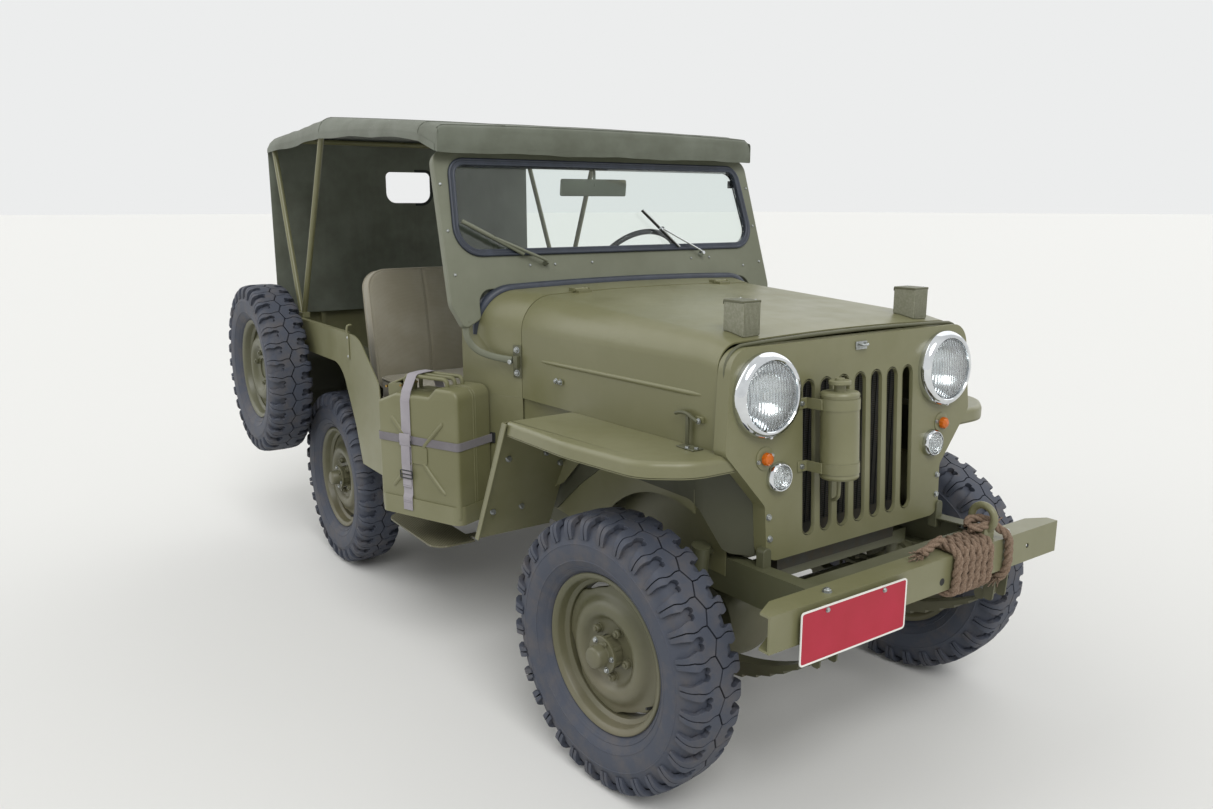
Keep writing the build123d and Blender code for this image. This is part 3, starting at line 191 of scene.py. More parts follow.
def tubePiece(points, radius, sides=3, closed=False, kind="NURBS", order=3, smoothness=6):
    line = bpy.data.curves.new("tube", "CURVE")
    line.dimensions = "3D"
    line.bevel_depth = radius
    line.bevel_resolution = sides
    line.resolution_u = smoothness
    line.use_fill_caps = True
    spline = line.splines.new(kind)
    spline.points.add(len(points) - 1)
    for place, point in zip(points, spline.points):
        point.co = (*place, 1)
    if kind == "NURBS":
        spline.order_u = order
        spline.use_endpoint_u = not closed
    spline.use_cyclic_u = closed
    piece = bpy.data.objects.new("tube", line)
    bpy.context.scene.collection.objects.link(piece)
    activate(piece)
    bpy.ops.object.convert(target="MESH")
    return bpy.context.object


def moved(piece, *matrices):
    for matrix in matrices:
        piece.data.transform(matrix)
    piece.data.update()
    return piece


def copied(piece):
    twin = piece.copy()
    twin.data = piece.data.copy()
    bpy.context.scene.collection.objects.link(twin)
    return twin


def joined(pieces):
    deselectAll()
    for piece in pieces:
        piece.select_set(True)
    bpy.context.view_layer.objects.active = pieces[0]
    if len(pieces) > 1:
        bpy.ops.object.join()
    return bpy.context.view_layer.objects.active


def mirroredCopy(piece):
    # the same piece on the other side of the car
    twin = moved(copied(piece), Matrix.Scale(-1, 4, (0, 1, 0)))
    flipFaces(twin)
    return twin


def slide(x, y, z):
    return Matrix.Translation((x, y, z))


def turn(degreesTurned, axis):
    return Matrix.Rotation(radians(degreesTurned), 4, axis)


# Slots of the finishes that aren't olive paint
finishSlots = {
    "sealRubber": "black_rubber", "tyreRubber": "tyre_rubber", "blackSatin": "dark_metal",
    "ropeFibre": "brown_rope", "roofDuck": "roof_canvas", "innerDuck": "roof_canvas",
    "seatDuck": "seat_canvas", "strapWeb": "seat_canvas", "darkWeb": "seat_canvas",
    "chromePlate": "chrome_lamp", "zincPlate": "chrome_lamp", "brassFitting": "chrome_lamp",
    "mirrorGlass": "chrome_lamp", "lampGlass": "clear_glass", "amberAcrylic": "red_plate",
    "redAcrylic": "red_plate",
}


def giveFinish(piece, *names):
    piece.data.materials.clear()
    for name in names:
        piece.data.materials.append(finishes[name])


def finishPiece(piece, name, finish, body="root", slotName=None, stands=(), smooth=35, level=False):
    piece.name = name
    piece.data.name = name
    piece.data.transform(Matrix.Translation(shift))
    if finish:
        giveFinish(piece, finish)
    slotName = slotName or finishSlots.get(finish, "olive_paint")
    activate(piece)
    bpy.ops.object.shade_smooth_by_angle(angle=radians(smooth))
    if level:  # wide faces keep flat shading beside their rounded edges
        useModifier(piece, "WEIGHTED_NORMAL", keep_sharp=True)
    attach(piece, body)
    if stands:
        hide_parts(*stands)
    return piece


# Materials

finishes = {}


def linearColour(hexText):
    parts = [int(hexText[i:i + 2], 16) / 255 for i in (1, 3, 5)]
    return (*[p / 12.92 if p <= .04045 else ((p + .055) / 1.055) ** 2.4 for p in parts], 1.0)


def addNode(tree, kind, sockets=None, **settings):
    made = tree.nodes.new(kind)
    for key, value in settings.items():
        setattr(made, key, value)
    for key, value in (sockets or {}).items():
        if isinstance(value, bpy.types.NodeSocket):
            tree.links.new(value, made.inputs[key])
        else:
            made.inputs[key].default_value = value
    return made


def startMaterial(name, roughness, metallic=.0, **shaderSockets):
    material = bpy.data.materials.new(name)
    finishes[name] = material
    material.use_nodes = True
    tree = material.node_tree
    tree.nodes.clear()
    sockets = {"Roughness": roughness, "Metallic": metallic}
    sockets.update({key.replace("_", " "): value for key, value in shaderSockets.items()})
    shader = addNode(tree, "ShaderNodeBsdfPrincipled", sockets)
    addNode(tree, "ShaderNodeOutputMaterial", {"Surface": shader.outputs[0]})
    where = addNode(tree, "ShaderNodeTexCoord").outputs["Object"]
    return tree, shader, where


def mixedColour(tree, factor, first, second):
    mix = addNode(tree, "ShaderNodeMix", {0: factor}, data_type="RGBA")
    for index, value in ((6, first), (7, second)):
        if isinstance(value, bpy.types.NodeSocket):
            tree.links.new(value, mix.inputs[index])
        else:
            mix.inputs[index].default_value = linearColour(value)
    return mix.outputs[2]


def softRange(tree, value, low, high, least=.0, most=1.0):
    return addNode(tree, "ShaderNodeMapRange", {0: value, 1: low, 2: high, 3: least, 4: most}).outputs[0]


def computed(tree, operation, first, second):
    return addNode(tree, "ShaderNodeMath", {0: first, 1: second}, operation=operation).outputs[0]


def noise(tree, where, size, detail, roughness=.5):
    sockets = {"Vector": where, "Scale": 1 / size, "Detail": detail, "Roughness": roughness}
    return addNode(tree, "ShaderNodeTexNoise", sockets).outputs["Fac"]


waveLength = .314  # of a wave texture at scale 1


def waves(tree, where, pitch, direction, **sockets):
    sockets = {"Vector": where, "Scale": waveLength / pitch, **sockets}
    return addNode(tree, "ShaderNodeTexWave", sockets, bands_direction=direction).outputs["Fac"]


def addRelief(tree, shader, height, strength, distance):
    bump = addNode(tree, "ShaderNodeBump", {"Height": height, "Strength": strength, "Distance": distance})
    tree.links.new(bump.outputs[0], shader.inputs["Normal"])


def makeFinishes(kinds, maker):
    for name, kind in kinds.items():
        maker(name, **kind)


# Satin alkyd enamel brushed and sprayed over steel: an even olive with a faint orange peel, chalky where it
# faded and browner near the ground where road dust has settled
enamelKinds = {
    "bodyEnamel": {"colour": "#717050", "faded": "#7D7C60", "roughness": .34, "peel": .05},
    "frameEnamel": {"colour": "#53543D", "faded": "#60604C", "roughness": .5, "peel": .16},
    "screenEnamel": {"colour": "#666957", "faded": "#757867", "roughness": .46, "peel": .08},
    "canEnamel": {"colour": "#6E6D4D", "faded": "#7A795C", "roughness": .42, "peel": .1},
    "wheelEnamel": {"colour": "#57573F", "faded": "#6A6955", "roughness": .4, "peel": .14},
    # the body olive darkened for the panels inside the body: painted shade
    "innerEnamel": {"colour": "#434432", "faded": "#4F503F", "roughness": .55, "peel": .12},
}
enamelSpec = {
    "peelSize": .004, "peelHeight": .0004, "fadeSize": .45, "dustTop": .55, "dustLow": .15, "dustMost": .45,
    "dust": "#7C6E58",
}


def enamel(name, colour, faded, roughness, peel):
    tree, shader, where = startMaterial(name, roughness, IOR=1.5)
    fading = noise(tree, where, enamelSpec["fadeSize"], 5.0, .6)
    base = mixedColour(tree, softRange(tree, fading, .42, .68), colour, faded)
    height = addNode(tree, "ShaderNodeSeparateXYZ", {0: where}).outputs[2]
    low = softRange(tree, height, enamelSpec["dustTop"], enamelSpec["dustLow"], .0, enamelSpec["dustMost"])
    patches = noise(tree, where, 1 / 9, 6.0)
    dust = computed(tree, "MULTIPLY", low, patches)
    tree.links.new(mixedColour(tree, dust, base, enamelSpec["dust"]), shader.inputs["Base Color"])
    rough = softRange(tree, patches, .3, .7, roughness - .05, roughness + .09)
    tree.links.new(rough, shader.inputs["Roughness"])
    addRelief(tree, shader, noise(tree, where, enamelSpec["peelSize"], 2.0), peel, enamelSpec["peelHeight"])


makeFinishes(enamelKinds, enamel)

# Natural and carbon-filled tyre rubber from a hot mould: blue-black, matt, with pale dust left in the hollows
rubberKinds = {
    "tyreRubber": {"colour": "#3E434F", "dusty": "#5F5852", "roughness": .68, "grain": .0035},
    "sealRubber": {"colour": "#2A303B", "dusty": "#414957", "roughness": .45, "grain": .002},
}


def mouldedRubber(name, colour, dusty, roughness, grain):
    tree, shader, where = startMaterial(name, roughness, IOR=1.52)
    cloud = noise(tree, where, 1 / 14, 7.0, .65)
    spread = softRange(tree, cloud, .45, .75, .0, .6)
    tree.links.new(mixedColour(tree, spread, colour, dusty), shader.inputs["Base Color"])
    addRelief(tree, shader, noise(tree, where, grain, 3.0), .25, .0006)


makeFinishes(rubberKinds, mouldedRubber)

# Proofed cotton duck: plain weave, threads drawn at about 2.4 mm where real ones are under 1 mm, to show
clothKinds = {
    "roofDuck": {"colour": "#5C6053", "worn": "#6E7367", "thread": .0024, "roughness": .9,
                 "Sheen_Weight": .15},
    # the roof's own duck darkened for its inner faces: painted shade under the top
    "innerDuck": {"colour": "#242927", "worn": "#303532", "thread": .0024, "roughness": .95,
                  "Sheen_Weight": .1},
    "seatDuck": {"colour": "#857F6C", "worn": "#938E7E", "thread": .003, "roughness": .92,
                 "Sheen_Weight": .2},
    "strapWeb": {"colour": "#8B868C", "worn": "#A09CA1", "thread": .002, "roughness": .9, "Sheen_Weight": .1},
    "darkWeb": {"colour": "#6A666A", "worn": "#7A777B", "thread": .002, "roughness": .9, "Sheen_Weight": .1},
}


def wovenCloth(name, colour, worn, thread, roughness, **shaderSockets):
    tree, shader, where = startMaterial(name, roughness, **shaderSockets)
    weave = None
    for direction in "XYZ":
        wave = waves(tree, where, thread, direction, Distortion=.6, Detail=1.0)
        weave = wave if weave is None else computed(tree, "ADD", weave, wave)
    spread = softRange(tree, noise(tree, where, .2, 6.0, .6), .38, .68)
    shade = softRange(tree, weave, .6, 2.4, .0, .22)
    amount = computed(tree, "ADD", spread, shade)
    tree.links.new(mixedColour(tree, amount, colour, worn), shader.inputs["Base Color"])
    addRelief(tree, shader, weave, .3, .0005)


makeFinishes(clothKinds, wovenCloth)

# Bare and plated metals: chrome on brass is a mirror, zinc on steel is dull and patchy, cast iron and the
# exhaust's steel are dark with rust bloom
metalKinds = {
    "chromePlate": {"colour": "#DDE0E2", "stain": "#C9CCCF", "roughness": .07, "metallic": 1.0, "patch": .05},
    "zincPlate": {"colour": "#B4B8B8", "stain": "#8C8E8A", "roughness": .34, "metallic": 1.0, "patch": .01},
    "castIron": {"colour": "#3C3C35", "stain": "#4A4438", "roughness": .62, "metallic": .3, "patch": .03},
    "exhaustSteel": {"colour": "#5A5148", "stain": "#7A5A42", "roughness": .6, "metallic": .6, "patch": .05},
    "brassFitting": {"colour": "#B08D4C", "stain": "#8A7347", "roughness": .32, "metallic": 1.0,
                     "patch": .01},
}


def metalSurface(name, colour, stain, roughness, metallic, patch):
    tree, shader, where = startMaterial(name, roughness, metallic)
    cloud = noise(tree, where, patch, 5.0)
    spread = softRange(tree, cloud, .4, .7)
    tree.links.new(mixedColour(tree, spread, colour, stain), shader.inputs["Base Color"])
    tree.links.new(softRange(tree, cloud, .3, .7, roughness, roughness * 1.4), shader.inputs["Roughness"])


makeFinishes(metalKinds, metalSurface)

# Float and pressed glass, and moulded acrylic for the amber and red lamps
glassKinds = {
    "screenGlass": {"colour": "#EAF2EF", "roughness": .0, "IOR": 1.46, "Transmission_Weight": 1.0,
                    "ridges": .0},
    "lampGlass": {"colour": "#F4F7F7", "roughness": .02, "IOR": 1.5, "Transmission_Weight": .92,
                  "ridges": .01},
    "amberAcrylic": {"colour": "#F07A10", "roughness": .12, "IOR": 1.49, "Transmission_Weight": .35,
                     "ridges": .004},
    "redAcrylic": {"colour": "#8E1512", "roughness": .12, "IOR": 1.49, "Transmission_Weight": .25,
                   "ridges": .004},
    "mirrorGlass": {"colour": "#9FB3AA", "roughness": .03, "IOR": 1.5, "metallic": .9, "ridges": .0},
}


def glassSurface(name, colour, roughness, ridges, metallic=.0, **shaderSockets):
    tree, shader, where = startMaterial(name, roughness, metallic, **shaderSockets)
    smudge = noise(tree, where, .125, 4.0)
    tree.links.new(softRange(tree, smudge, .5, .8, roughness, roughness + .03), shader.inputs["Roughness"])
    shader.inputs["Base Color"].default_value = linearColour(colour)
    if ridges:
        addRelief(tree, shader, waves(tree, where, ridges, "Y"), .5, .0015)


makeFinishes(glassKinds, glassSurface)

# Plainer finishes: stoved gloss on the plate, moulded bakelite on the wheel, hard laid rope, timber rests
plainKinds = {
    "plateRed": {"colour": "#A60C2A", "second": "#AE1433", "roughness": .5, "size": .08, "bump": .02},
    "plateWhite": {"colour": "#E6E6E1", "second": "#DAD9D2", "roughness": .3, "size": .08, "bump": .02},
    "bakelite": {"colour": "#16171A", "second": "#232529", "roughness": .3, "size": .03, "bump": .05},
    "blackSatin": {"colour": "#1B1D1E", "second": "#2A2B2A", "roughness": .5, "size": .03, "bump": .1},
    "ropeFibre": {"colour": "#6E5A49", "second": "#8D7A69", "roughness": .95, "size": .004, "bump": .8},
    "restTimber": {"colour": "#7B7C68", "second": "#8B8B7B", "roughness": .7, "size": .006, "bump": .3},
}


def plainSurface(name, colour, second, roughness, size, bump):
    tree, shader, where = startMaterial(name, roughness)
    cloud = noise(tree, where, size, 4.0)
    tree.links.new(mixedColour(tree, softRange(tree, cloud, .35, .7), colour, second),
                   shader.inputs["Base Color"])
    addRelief(tree, shader, cloud, bump, .0008)


makeFinishes(plainKinds, plainSurface)

# Chequered steel tread: pressed diamonds about 9 mm apart on the steps
treadPitch = .009


def chequerPlate():
    tree, shader, where = startMaterial("chequerPlate", .45, IOR=1.5)
    bars = []
    for angle in (45, -45):
        turned = addNode(tree, "ShaderNodeMapping",
                         {"Vector": where, "Rotation": (0, 0, radians(angle))}).outputs[0]
        bars.append(waves(tree, turned, treadPitch, "X"))
    raised = softRange(tree, computed(tree, "MULTIPLY", *bars), .35, .65)
    tree.links.new(mixedColour(tree, raised, "#62604A", "#858272"), shader.inputs["Base Color"])
    addRelief(tree, shader, raised, .9, .0015)


chequerPlate()

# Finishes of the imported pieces
nodeFinish = {
    "bodyEnamel": ["grille", "hood", "cowl_sides", "cowl_top", "front_fenders", "side_panels", "rear_panels",
                   "tailgate", "surge_tank", "front_bumper"],
    # the inside panels take the darkened olive, painted shade inside the body
    "innerEnamel": ["firewall", "dashboard", "wheel_boxes", "body_floor", "seat_frames", "fender_aprons"],
    "frameEnamel": ["frame_rails", "cross_members", "leaf_springs", "front_axle", "rear_axle", "knuckle_left",
                    "knuckle_right", "tie_rod", "shock_absorbers", "tow_fittings", "spare_carrier",
                    "prop_shafts", "gearbox", "can_tray", "steering_column", "top_bows"],
    "screenEnamel": ["windscreen_frame"],
    "canEnamel": ["fuel_can"],
    "wheelEnamel": ["wheel_front_left", "wheel_front_right", "wheel_rear_left", "wheel_rear_right",
                    "wheel_spare"],
    "tyreRubber": ["tyre_front_left", "tyre_front_right", "tyre_rear_left", "tyre_rear_right", "tyre_spare"],
    "sealRubber": ["windscreen_seal"],
    "roofDuck": ["canvas_top"],
    "seatDuck": ["driver_seat", "passenger_seat"],
    "castIron": ["engine_block", "radiator"],
    "exhaustSteel": ["exhaust"],
    "chromePlate": ["lamps"],
    "screenGlass": ["windscreen_glass"],
    "plateRed": ["number_plate"],
    "bakelite": ["steering_wheel"],
    "blackSatin": ["wiper_arms"],
    "ropeFibre": ["rope_winding"],
    "restTimber": ["hood_blocks"],
    "chequerPlate": ["side_steps"],
}
for finish, names in nodeFinish.items():
    for name in names:
        giveFinish(frame["nodes"][name], finish)
print("finishes made")


# Camera, lights and floor

photoView = {"place": (1.912, -1.9802, 1.5436), "tilt": 78.08, "turn": 55.18, "lens": 27.87, "sensor": 36.0}
lampTable = [  # turned from straight down, turned about the upright, watts a square metre, spread
    (42, 70, 1.55, 34),
    (52, -48, .95, 60),
    (50, 190, .6, 60),
]


def lightScene():
    deselectAll()
    bpy.ops.object.camera_add(location=Vector(photoView["place"]) + shift,
                              rotation=(radians(photoView["tilt"]), 0, radians(photoView["turn"])))
    camera = bpy.context.object
    camera.data.lens = photoView["lens"]
    camera.data.sensor_width = photoView["sensor"]
    bpy.context.scene.camera = camera
    for tilt, heading, watts, spread in lampTable:
        bpy.ops.object.light_add(type="SUN", location=(0, 0, 6),
                                 rotation=(radians(tilt), 0, radians(heading)))
        lamp = bpy.context.object
        lamp.data.energy = watts
        lamp.data.angle = radians(spread)
    world = bpy.data.worlds.new("studio")
    world.use_nodes = True
    bpy.context.scene.world = world
    tree = world.node_tree
    tree.nodes.clear()
    rays = addNode(tree, "ShaderNodeLightPath")
    seen = computed(tree, "MAXIMUM", rays.outputs["Is Camera Ray"], rays.outputs["Is Glossy Ray"])
    seen = computed(tree, "MAXIMUM", seen, rays.outputs["Is Transmission Ray"])
    soft = addNode(tree, "ShaderNodeBackground", {"Color": (1, 1, 1, 1), "Strength": .52})
    pale = addNode(tree, "ShaderNodeBackground", {"Color": linearColour("#ECEDED"), "Strength": 1.0})
    both = addNode(tree, "ShaderNodeMixShader", {0: seen, 1: soft.outputs[0], 2: pale.outputs[0]})
    addNode(tree, "ShaderNodeOutputWorld", {"Surface": both.outputs[0]})
    bpy.ops.mesh.primitive_plane_add(size=400, location=(0, 0, -.001))
    floor = bpy.context.object
    floor.name = "paleFloor"
    shader = startMaterial("paleFloor", .85)[1]
    shader.inputs["Base Color"].default_value = linearColour("#DDDDDA")
    giveFinish(floor, "paleFloor")
    bpy.context.scene.view_settings.view_transform = "Standard"


lightScene()
print("camera and lights made")


# Tyres: a bias-ply carcass with 32 lug units on each side of a zigzag centre groove
tyreSpec = {
    "units": 32,
    "pitch": .074,
    "lugDepth": .0145,
    "edge": .0011,
    "crown": [(0, .377), (.045, .376), (.066, .373), (.077, .368), (.084, .359), (.088, .347), (.089, .335),
              (.0888, .322), (.0882, .31), (.0878, .304)],
    "carcass": [(0, .3625), (.056, .359), (.0685, .352), (.076, .342), (.08, .33), (.084, .318),
                (.0866, .311), (.0872, .3075), (.0884, .3065), (.0886, .3045), (.0876, .3035), (.0878, .298),
                (.0872, .284), (.0858, .272), (.0835, .262), (.0842, .2605), (.0838, .2585), (.082, .2575),
                (.0765, .2475), (.0705, .24), (.0715, .2385), (.0705, .237), (.067, .2345), (.0662, .2335),
                (.0655, .2315), (.0625, .229), (.0585, .226), (.0535, .2235), (.0527, .2063)],
    "unit": [(.0018, .01), (.0195, .0022), (.037, -.0055), (.0545, .0022), (.0722, .01), (.073, .024),
             (.067, .042), (.067, .054), (.073, .074), (.073, .108), (.071, .131), (.06, .129), (.0585, .112),
             (.0582, .095), (.055, .078), (.052, .064), (.0572, .052), (.0572, .04), (.0515, .032),
             (.044, .032), (.0395, .04), (.0345, .035), (.0265, .036), (.0222, .045), (.0262, .056),
             (.0228, .07), (.0172, .088), (.0155, .112), (.0148, .129), (.0035, .131), (.0022, .108),
             (.0022, .074), (-.0038, .054), (-.0038, .042), (.0022, .024)],
    "lengthCuts": [.012, .0295, .037, .0445, .062],
    "cuts": [.02, .045, .0555, .066, .0715, .0775, .083, .089, .095, .1015, .108, .1145, .121],
}


def alongLine(points, distance):
    # place and outward normal at a distance along a line of points
    for before, after in zip(points, points[1:]):
        step = (Vector(after) - Vector(before)).length
        if distance <= step or after == points[-1]:
            way = (Vector(after) - Vector(before)) / step
            return Vector(before) + way * distance, Vector((-way[1], way[0]))
        distance -= step


def smoothNormal(points, distance):
    reach = .004
    first = alongLine(points, max(distance - reach, 0))[1]
    last = alongLine(points, distance + reach)[1]
    place, middle = alongLine(points, distance)
    return place, (first + middle + last).normalized()


def lugUnit():
    unit = cutPlate([(u, s, 0) for u, s in tyreSpec["unit"]], (0, 0, tyreSpec["lugDepth"]))
    editAll(unit)
    for cut in tyreSpec["cuts"]:
        bpy.ops.mesh.select_all(action="SELECT")
        bpy.ops.mesh.bisect(plane_co=(0, cut, 0), plane_no=(0, 1, 0))
    for cut in tyreSpec["lengthCuts"]:
        bpy.ops.mesh.select_all(action="SELECT")
        bpy.ops.mesh.bisect(plane_co=(cut, 0, 0), plane_no=(1, 0, 0))
    leaveEdit()
    return roundEdges(unit, tyreSpec["edge"], 1, 40)


def treadHalf(side, offset):
    unit = lugUnit()
    units = [moved(copied(unit), slide(number * tyreSpec["pitch"] + offset, 0, 0))
             for number in range(tyreSpec["units"])]
    discard(unit)
    tread = joined(units)
    wholeTurn = tyreSpec["pitch"] * tyreSpec["units"]
    for vertex in tread.data.vertices:
        along, across, height = vertex.co
        place, normal = smoothNormal(tyreSpec["crown"], max(across, 0))
        place = place - normal * (tyreSpec["lugDepth"] - height)
        if across < 0:
            place[0] += across
        angle = 2 * pi * along / wholeTurn * side
        vertex.co = (place[1] * sin(angle), place[0] * side, place[1] * cos(angle))
    return tread


def makeTyre():
    half = tyreSpec["carcass"]
    outline = [(y, r) for y, r in half[::-1]] + [(-y, r) for y, r in half[1:]]
    carcass = spunPiece([*outline, outline[0]], "Y", 96)
    return joined([carcass, treadHalf(1, 0), treadHalf(-1, tyreSpec["pitch"] / 2)])


# Wheels: rolled rim, pressed disc cut back in four places at its edge, drum, hub with drive flange and cap
wheelSpec = {
    "rim": [(.053, .2208), (.056, .2212), (.0582, .219), (.0586, .216), (.0572, .212), (.0552, .2085),
            (.053, .2045), (.048, .2016), (.033, .1996), (.028, .1976), (.024, .191), (.0205, .1865),
            (.01, .1852), (-.018, .1852), (-.024, .191), (-.028, .1976), (-.048, .201), (-.054, .206),
            (-.057, .212), (-.057, .221), (-.054, .221), (-.053, .2062), (-.025, .2058), (-.018, .19),
            (.018, .19), (.025, .2058), (.0527, .2062), (.053, .2208)],
    "disc": [(.006, .185), (.013, .1842), (.0165, .1815), (.018, .174), (.0188, .164), (.0205, .156),
             (.025, .149), (.033, .142), (.04, .1345), (.0438, .1255), (.0448, .116), (.0432, .107),
             (.0385, .0995), (.031, .094), (.0262, .0885), (.0243, .082), (.024, .046), (.018, .046),
             (.018, .083), (.02, .09), (.025, .0965), (.033, .103), (.038, .109), (.0392, .116),
             (.0384, .1245), (.035, .132), (.029, .139), (.021, .146), (.016, .154), (.014, .164),
             (.013, .174), (.011, .18), (.006, .1815), (.006, .185)],
    "drum": [(-.022, .127), (.018, .127), (.018, .024), (.013, .024), (.013, .118), (-.022, .118),
             (-.022, .127)],
    "hub": [(.013, .044), (.048, .043), (.05, .0415), (.0502, .04), (.052, .05), (.0535, .0515), (.06, .0515),
            (.0612, .05), (.0612, .033), (.0625, .0315), (.088, .03), (.0925, .0275), (.0948, .0235),
            (.095, .0001)],
    "cutBack": .013,
    "cutPlaces": (40, 130, 220, 310),
    "cutReach": 19,
    "cutInside": .155,
    "cutRun": .03,
    "studs": 5,
    "flangeScrews": 6,
    "nutCircle": .07,
    "flangeCircle": .042,
}


def hexNut(size, height, body=True):
    # a nut with a turned top and its washer, standing on Y
    deselectAll()
    bpy.ops.mesh.primitive_cylinder_add(vertices=6, radius=size, depth=height, location=(0, height / 2, 0),
                                        rotation=(radians(90), 0, 0))
    nut = bpy.context.object
    bpy.ops.object.transform_apply(location=True, rotation=True, scale=True)
    roundEdges(nut, size * .1, 1)
    washer = spunPiece([(-.0005, size * 1.18), (height * .14, size * 1.18), (height * .16, size * 1.1),
                        (height * .16, .0001)], "Y", 20)
    if not body:
        return joined([nut, washer])
    stud = spunPiece([(height * .9, size * .5), (height * 1.22, size * .5), (height * 1.3, size * .38),
                      (height * 1.3, .0001)], "Y", 14)
    return joined([nut, washer, stud])


def frontNut(size, height, place, *moves):
    # a nut facing +X
    return moved(hexNut(size, height, False), turn(-90, "Z"), slide(*place), *moves)


def makeWheel(withHub):
    rim = spunPiece(wheelSpec["rim"], "Y", 72)
    disc = spunPiece(wheelSpec["disc"], "Y", 96)
    for vertex in disc.data.vertices:
        x, y, z = vertex.co
        radius = sqrt(x * x + z * z)
        inside = wheelSpec["cutInside"]
        if radius > inside:
            angle = atan2(z, x) * 180 / pi % 360
            near = min(abs(angle - place) for place in wheelSpec["cutPlaces"])
            share = max(0, 1 - (near / wheelSpec["cutReach"]) ** 4) * (radius - inside) / wheelSpec["cutRun"]
            scale = (radius - wheelSpec["cutBack"] * share) / radius
            vertex.co = (x * scale, y, z * scale)
    parts = [rim, disc]
    bright = []
    nut = hexNut(.0125, .016)
    for number in range(wheelSpec["studs"]):
        stud = moved(copied(nut), slide(0, .024, wheelSpec["nutCircle"]),
                     turn(360 / wheelSpec["studs"] * number, "Y"))
        if withHub or number % 2 == 0:
            parts.append(stud)
        else:
            discard(stud)
    discard(nut)
    if withHub:
        parts += [spunPiece(wheelSpec["drum"], "Y", 48), spunPiece(wheelSpec["hub"], "Y", 48)]
        step = 360 / wheelSpec["flangeScrews"]
        for number in range(wheelSpec["flangeScrews"]):  # ribs of the hub casting between the screws
            rib = boxPiece((-.006, .014, .038), (.006, .05, .0465), .002)
            parts.append(moved(rib, turn(step * (number + .5), "Y")))
        screw = hexNut(.0068, .006, False)
        for number in range(wheelSpec["flangeScrews"]):
            place = moved(copied(screw), slide(0, .061, wheelSpec["flangeCircle"]), turn(step * number, "Y"))
            (bright if number % 3 else parts).append(place)
        discard(screw)
    valve = tubePiece([(-.196, .03, 0), (-.194, .04, 0), (-.19, .056, 0)], .0038)
    return joined(parts), joined(bright) if bright else None, valve


tyrePattern = makeTyre()
print("tyre pattern made")
hubWheel, hubBolts, valveStem = makeWheel(True)
plainWheel, plainValve = makeWheel(False)[::2]


def wheelMoves(name):
    # how a wheel drawn with its outer face towards +Y comes to its corner
    side = -1 if name.endswith("right") or name == "spare" else 1
    moves = [turn(180, "Z")] if side < 0 else []
    if name == "spare":
        return [turn(70, "Y"), *moves, slide(*sparePlace)]
    moves += [turn(27 if "front" in name else 51, "Y"),
              slide(-wheelbase if name.startswith("rear") else 0, side * halfTrack, wheelRadius)]
    if name.startswith("front"):
        kingpin = side * kingpinReach
        moves += [slide(0, -kingpin, 0), Matrix.Rotation(parkedSteer, 4, "Z"), slide(0, kingpin, 0)]
    return moves


for corner in ("front_left", "front_right", "rear_left", "rear_right", "spare"):
    spare = corner == "spare"
    body = "root" if spare else "road_wheel_" + corner
    moves = wheelMoves(corner)
    wheel, valve = (plainWheel, plainValve) if spare else (hubWheel, valveStem)
    finishPiece(moved(copied(tyrePattern), *moves), "tyreCover_" + corner, "tyreRubber", body,
                stands=["tyre_" + corner], smooth=32)
    finishPiece(moved(copied(wheel), *moves), "discWheel_" + corner, "wheelEnamel", body,
                stands=["wheel_" + corner])
    finishPiece(moved(copied(valve), *moves), "valve_" + corner, "blackSatin", body, "black_rubber")
    if not spare:
        finishPiece(moved(copied(hubBolts), *moves), "hubBolts_" + corner, "zincPlate", body)
discard(tyrePattern, hubWheel, hubBolts, valveStem, plainWheel, plainValve)
print("tyres and wheels made")


# Front: lamps, canister, grille edges, number plate and small fittings
frontSpec = {
    "foot": (.282, 0, .7), "lean": 3.1,
    "lampY": .353, "lampZ": 1.0855,
    "signalY": .355, "signalZ": .9245, "parkY": .31, "parkZ": .871,
    "slots": 7, "slotPitch": .066, "slotHalf": .02, "slotLow": .697, "slotHigh": 1.107,
}


slots, slotPitch = frontSpec["slots"], frontSpec["slotPitch"]
slotPlaces = [(number - (slots - 1) / 2) * slotPitch for number in range(slots)]


def onGrille(y, z):
    # carries a piece drawn at the origin, facing +X, onto the leaning face of the grille
    foot = frontSpec["foot"]
    return slide(0, y, (z - foot[2])), turn(-frontSpec["lean"], "Y"), slide(foot[0], 0, foot[2])


def bothSides(piece, name, finish, body="root", slotName=None, stands=(), smooth=35, level=False):
    twin = mirroredCopy(piece)
    finishPiece(piece, name + "_left", finish, body, slotName, stands, smooth, level)
    finishPiece(twin, name + "_right", finish, body, slotName, (), smooth, level)


def makeHeadlamp():
    # chrome rim, bright bucket ring and a pressed lens with flutes behind a domed face
    rim = spunPiece([(-.004, .0985), (0, .1088), (.008, .1096), (.018, .1078), (.0265, .102), (.0305, .095),
                     (.0312, .0905), (.029, .0878), (.024, .0868), (.016, .0868), (.014, .087), (-.004, .087),
                     (-.004, .0985)], "X", 64)
    bucket = spunPiece([(-.075, .0001), (-.075, .05), (-.03, .0972), (-.003, .0972), (-.003, .087),
                        (.0, .086), (-.02, .074), (-.045, .05), (-.056, .02), (-.058, .0001)], "X", 48)
    lens = spunPiece([(.0225, .0868), (.0265, .084), (.03, .076), (.0345, .06), (.0378, .04), (.0395, .02),
                      (.04, .0001)], "X", 64)
    useModifier(lens, "SOLIDIFY", thickness=.0035, offset=-1)
    shield = spunPiece([(-.01, .0001), (.004, .0001), (.006, .01), (.004, .016), (-.01, .018)], "X", 24)
    screw = frontNut(.004, .003, (.022, 0, -.104))
    return joined([rim, shield, screw]), bucket, lens


